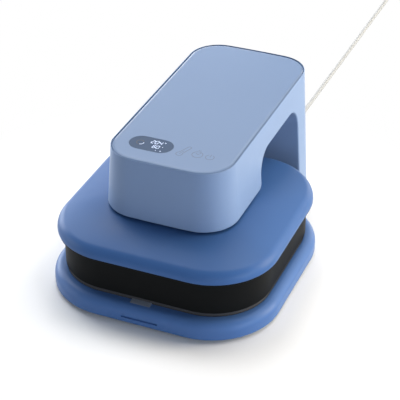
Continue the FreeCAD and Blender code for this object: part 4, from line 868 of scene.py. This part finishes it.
def makeDisplayMarks():
    level = arm["top"] + digits["proud"]
    thick = digits["thick"]
    shape = bmesh.new()
    for text, y, share in (("204", digits["hotY"], 1), ("60", digits["timeY"], digits["timeShare"])):
        for i, letter in enumerate(reversed(text)):
            x = digits["right"] - digits["width"] * share - i * digits["pitch"] * share
            digitStrokes(shape, letter, x, y, share, level)
    strokes(shape, circlePath(*signs["degree"], steps=14), signs["degreeLine"], level, thick)
    for start, end, width in signs["dashes"]:
        strokes(shape, [Vector(start), Vector(end)], width, level, thick)
    lit = circlePath(*signs["dial"], signs["litFrom"], signs["litTo"], 10)
    strokes(shape, lit, signs["litLine"], level, thick)
    marks = newPiece("displayMarks", shape)
    marks.data.materials.append(markFinish)
    present(marks, "head", "lens_dark")
    shape = bmesh.new()
    dark = circlePath(*signs["dial"], signs["darkFrom"], signs["darkTo"], 24)
    strokes(shape, dark, signs["darkLine"], level, thick)
    ring = newPiece("displayRing", shape, "inner_plastic")
    return present(ring, "head", "lens_dark")


keys = {"line": 1.5, "thick": 0.08, "proud": 0.02,
        "bulb": (13.6, -137.2, 5.8), "bulbGap": 40, "tip": (23.0, -112.4, 3.4),
        "clock": (44.2, -128.2, 9.6), "hands": ((-3.4, 4.2), (0, 0), (4.2, 6.2)),
        "crownHalf": 3, "crownUp": 4,
        "power": (67.6, -128.4, 7.6), "powerFrom": -240, "powerTo": 60, "bar": (1.5, 1)}


def makeKeyMarks():
    # Fine printed outlines: a leaning thermometer, a stopwatch and a standby sign
    level, line, thick = arm["top"] + keys["proud"], keys["line"], keys["thick"]
    shape = bmesh.new()
    x, y, low = keys["bulb"]
    topX, topY, high = keys["tip"]
    lean = math.degrees(math.atan2(topY - y, topX - x))
    bulb = circlePath(x, y, low, lean + keys["bulbGap"], lean + 360 - keys["bulbGap"], 20)
    neck = circlePath(topX, topY, high, lean - 90, lean + 90, 10)
    strokes(shape, bulb + neck + bulb[:1], line, level, thick)
    strokes(shape, [Vector((x, y)), Vector(((x + topX) / 2, (y + topY) / 2))], line, level, thick)
    x, y, radius = keys["clock"]
    strokes(shape, circlePath(x, y, radius), line, level, thick)
    strokes(shape, [Vector((x + a, y + b)) for a, b in keys["hands"]], line, level, thick)
    half, up = keys["crownHalf"], y + radius + keys["crownUp"]
    strokes(shape, [Vector((x - half, up)), Vector((x + half, up))], line, level, thick)
    x, y, radius = keys["power"]
    strokes(shape, circlePath(x, y, radius, keys["powerFrom"], keys["powerTo"], 24), line, level, thick)
    over, under = keys["bar"]
    strokes(shape, [Vector((x, y + radius + over)), Vector((x, y + under))], line, level, thick)
    marks = newPiece("keyMarks", shape)
    marks.data.materials.append(lineFinish)
    return present(marks, "head", "panel_blue")


makeDisplayMarks()
makeKeyMarks()
print("stage: marks")


# Mains cord: out of the tail, straight back over the table, then wound up

cord = {"diameter": 9, "length": 1830, "exit": (18, 288.1, 22), "coilX": -35.0, "coilY": 1290,
        "outer": 58.5, "inner": 49.5, "upper": 54, "floor": 4.5, "crest": 13.2, "perTurn": 28, "turns": 2.2,
        "moveIn": (235, 360), "climb": (450, 600), "moveOut": (545, 630)}
route = [
    cord["exit"], (18, 330.1, 19.5), (17.6, 385.1, 6.5), (16.8, 458.1, 4.5), (17.4, 563.1, 4.5),
    (23.2, 1180, 4.5)]
tailRoute = [(-35, 1344, 13.5), (-61, 1344.4, 13.5), (-87, 1345.8, 10.5)]


def ease(value, start, end):
    # From 0 to 1, slow at both ends
    share = min(1, max(0, (value - start) / (end - start)))
    return share * share * (3 - 2 * share)


def coilRoute():
    # Two turns side by side on the table, the inner one climbing to its last part on top of both
    spots = []
    for step in range(round(cord["perTurn"] * cord["turns"])):
        degrees = 360 * step / cord["perTurn"]
        radius = cord["outer"] + (cord["inner"] - cord["outer"]) * ease(degrees, *cord["moveIn"])
        radius += (cord["upper"] - cord["inner"]) * ease(degrees, *cord["moveOut"])
        level = cord["floor"] + (cord["crest"] - cord["floor"]) * ease(degrees, *cord["climb"])
        angle = math.radians(degrees)
        x = cord["coilX"] + radius * math.cos(angle)
        y = cord["coilY"] + radius * math.sin(angle)
        spots.append((x, y, level))
    return spots


def makeCord():
    line = bpy.data.curves.new("mainsCord", "CURVE")
    line.dimensions = "3D"
    line.bevel_depth = cord["diameter"] / 2 * mm
    line.bevel_resolution = 6
    line.use_fill_caps = True
    spots = route + coilRoute() + tailRoute
    spline = line.splines.new("NURBS")
    spline.points.add(len(spots) - 1)
    for point, spot in zip(spline.points, spots):
        point.co = [size * mm for size in spot] + [1]
    spline.order_u = 3
    spline.use_endpoint_u = True
    spline.resolution_u = 10
    line.materials.append(finishes["cord_grey"])
    piece = bpy.data.objects.new("mainsCord", line)
    bpy.context.scene.collection.objects.link(piece)
    return present(piece, "base", "cord_grey", "cord", "cord_coil", "cord_tail")


mainsCord = makeCord()
print("stage: cord")


# Studio

camera = {"target": (0.32, -10.915, 102.5), "position": (851.36, -2055.40, 1546.14), "lens": 126.88,
          "sensor": 36, "farthest": 60}
# Lengths in metres
studio = {
    "floor": 14, "pale": 0.82, "aim": (0, 0, 0.12), "reach": 2.5, "lampSize": 1.3, "glossy": 0.7,
    "whiteFrom": 0.24, "whiteTo": 0.62, "middle": (0, -0.072, 0),
    # Each soft lamp: its turn about the press from the right-hand side, its lift, its watts, its tint
    "lamps": {
        "lowFront": (-67, 8, 11, "cool"),
        "lowRightFront": (-22, 8, 30, "cool"),
        "lowRight": (23, 8, 37, "warm"),
        "lowRightBack": (68, 8, 12, "warm"),
        "lowBack": (120, 8, 10, "plain"),
        "lowLeftBack": (158, 8, 39, "faint"),
        "lowLeft": (203, 8, 17, "faint"),
        "midRight": (23, 28, 25, "warm"),
        "midBack": (113, 28, 5, "plain"),
        "midLeftBack": (158, 28, 11, "faint"),
        "highBack": (113, 50, 16, "plain"),
        "edgeRight": (73, 36, 5, "plain"),
        "highLeftBack": (158, 50, 16, "plain"),
        "topRight": (45, 65, 27, "plain"),
        "topLeft": (135, 65, 21, "plain"),
    },
    "tints": {
        "plain": (1, 1, 1), "faint": (0.93, 0.98, 1.05), "cool": (0.82, 0.94, 1.14),
        "warm": (1.17, 1.06, 0.88),
    },
}


def makeCamera():
    lensData = bpy.data.cameras.new("photoCamera")
    lensData.lens = camera["lens"]
    lensData.sensor_width = camera["sensor"]
    lensData.clip_end = camera["farthest"]
    eye = bpy.data.objects.new("photoCamera", lensData)
    eye.location = Vector(camera["position"]) * mm
    gaze = Vector(camera["target"]) - Vector(camera["position"])
    eye.rotation_euler = gaze.to_track_quat("-Z", "Y").to_euler()
    bpy.context.scene.collection.objects.link(eye)
    bpy.context.scene.camera = eye


def makeLamps():
    aim = Vector(studio["aim"])
    for name, (turn, lift, watts, tint) in studio["lamps"].items():
        data = bpy.data.lights.new(name, "AREA")
        data.shape = "SQUARE"
        data.size = studio["lampSize"]
        data.energy = watts
        data.color = studio["tints"][tint]
        around, above = math.radians(turn), math.radians(lift)
        level = Vector((math.cos(around), math.sin(around), 0))
        way = level * math.cos(above) + Vector((0, 0, math.sin(above)))
        light = bpy.data.objects.new(name, data)
        light.location = aim + way * studio["reach"]
        light.rotation_euler = way.to_track_quat("Z", "Y").to_euler()
        bpy.context.scene.collection.objects.link(light)


def shown(finish):
    # 1 for what the eye sees, itself or through glass, fainter in what reflects it, and 0 for what lights
    seen = finish.node("ShaderNodeLightPath", output="Is Camera Ray")
    rays = seen.socket.node.outputs
    through = Term(finish, rays["Is Transmission Ray"])
    return seen + through + Term(finish, rays["Is Glossy Ray"]) * studio["glossy"]


def makeWorld():
    # White past the floor, to the eye and in what reflects it, and otherwise dark
    sky = Finish("studioWorld", bpy.data.worlds.new("studioWorld"))
    share = shown(sky)
    white = sky.node("ShaderNodeBackground", {}, {"Color": (1, 1, 1, 1), "Strength": share})
    sky.node("ShaderNodeOutputWorld", {}, {"Surface": white})
    bpy.context.scene.world = sky.material


def makeFloor():
    # Matt and pale round the press, so that it takes the shadow, and shown as white further out
    finish = Finish("studioFloor")
    away = finish.node("ShaderNodeVectorMath", {"operation": "DISTANCE"}, {
        0: finish.here(), 1: studio["middle"]}, 1)
    far = finish.node("ShaderNodeMapRange", {"interpolation_type": "SMOOTHSTEP"}, {
        "Value": away, "From Min": studio["whiteFrom"], "From Max": studio["whiteTo"]})
    pale = (studio["pale"],) * 3 + (1,)
    matt = finish.node("ShaderNodeBsdfPrincipled", {}, {"Base Color": pale, "Roughness": 0.9})
    white = finish.node("ShaderNodeEmission", {}, {"Color": (1, 1, 1, 1), "Strength": 1.0})
    both = finish.node("ShaderNodeMixShader", {}, {0: far * shown(finish), 1: matt, 2: white})
    finish.node("ShaderNodeOutputMaterial", {}, {"Surface": both})
    half = studio["floor"] / 2
    shape = bmesh.new()
    corners = ((-half, -half), (half, -half), (half, half), (-half, half))
    shape.faces.new([shape.verts.new((x, y, 0)) for x, y in corners])
    floor = newPiece("studioFloor", shape)
    floor.data.materials.append(finish.material)


makeCamera()
makeLamps()
makeWorld()
makeFloor()
print("stage: studio")
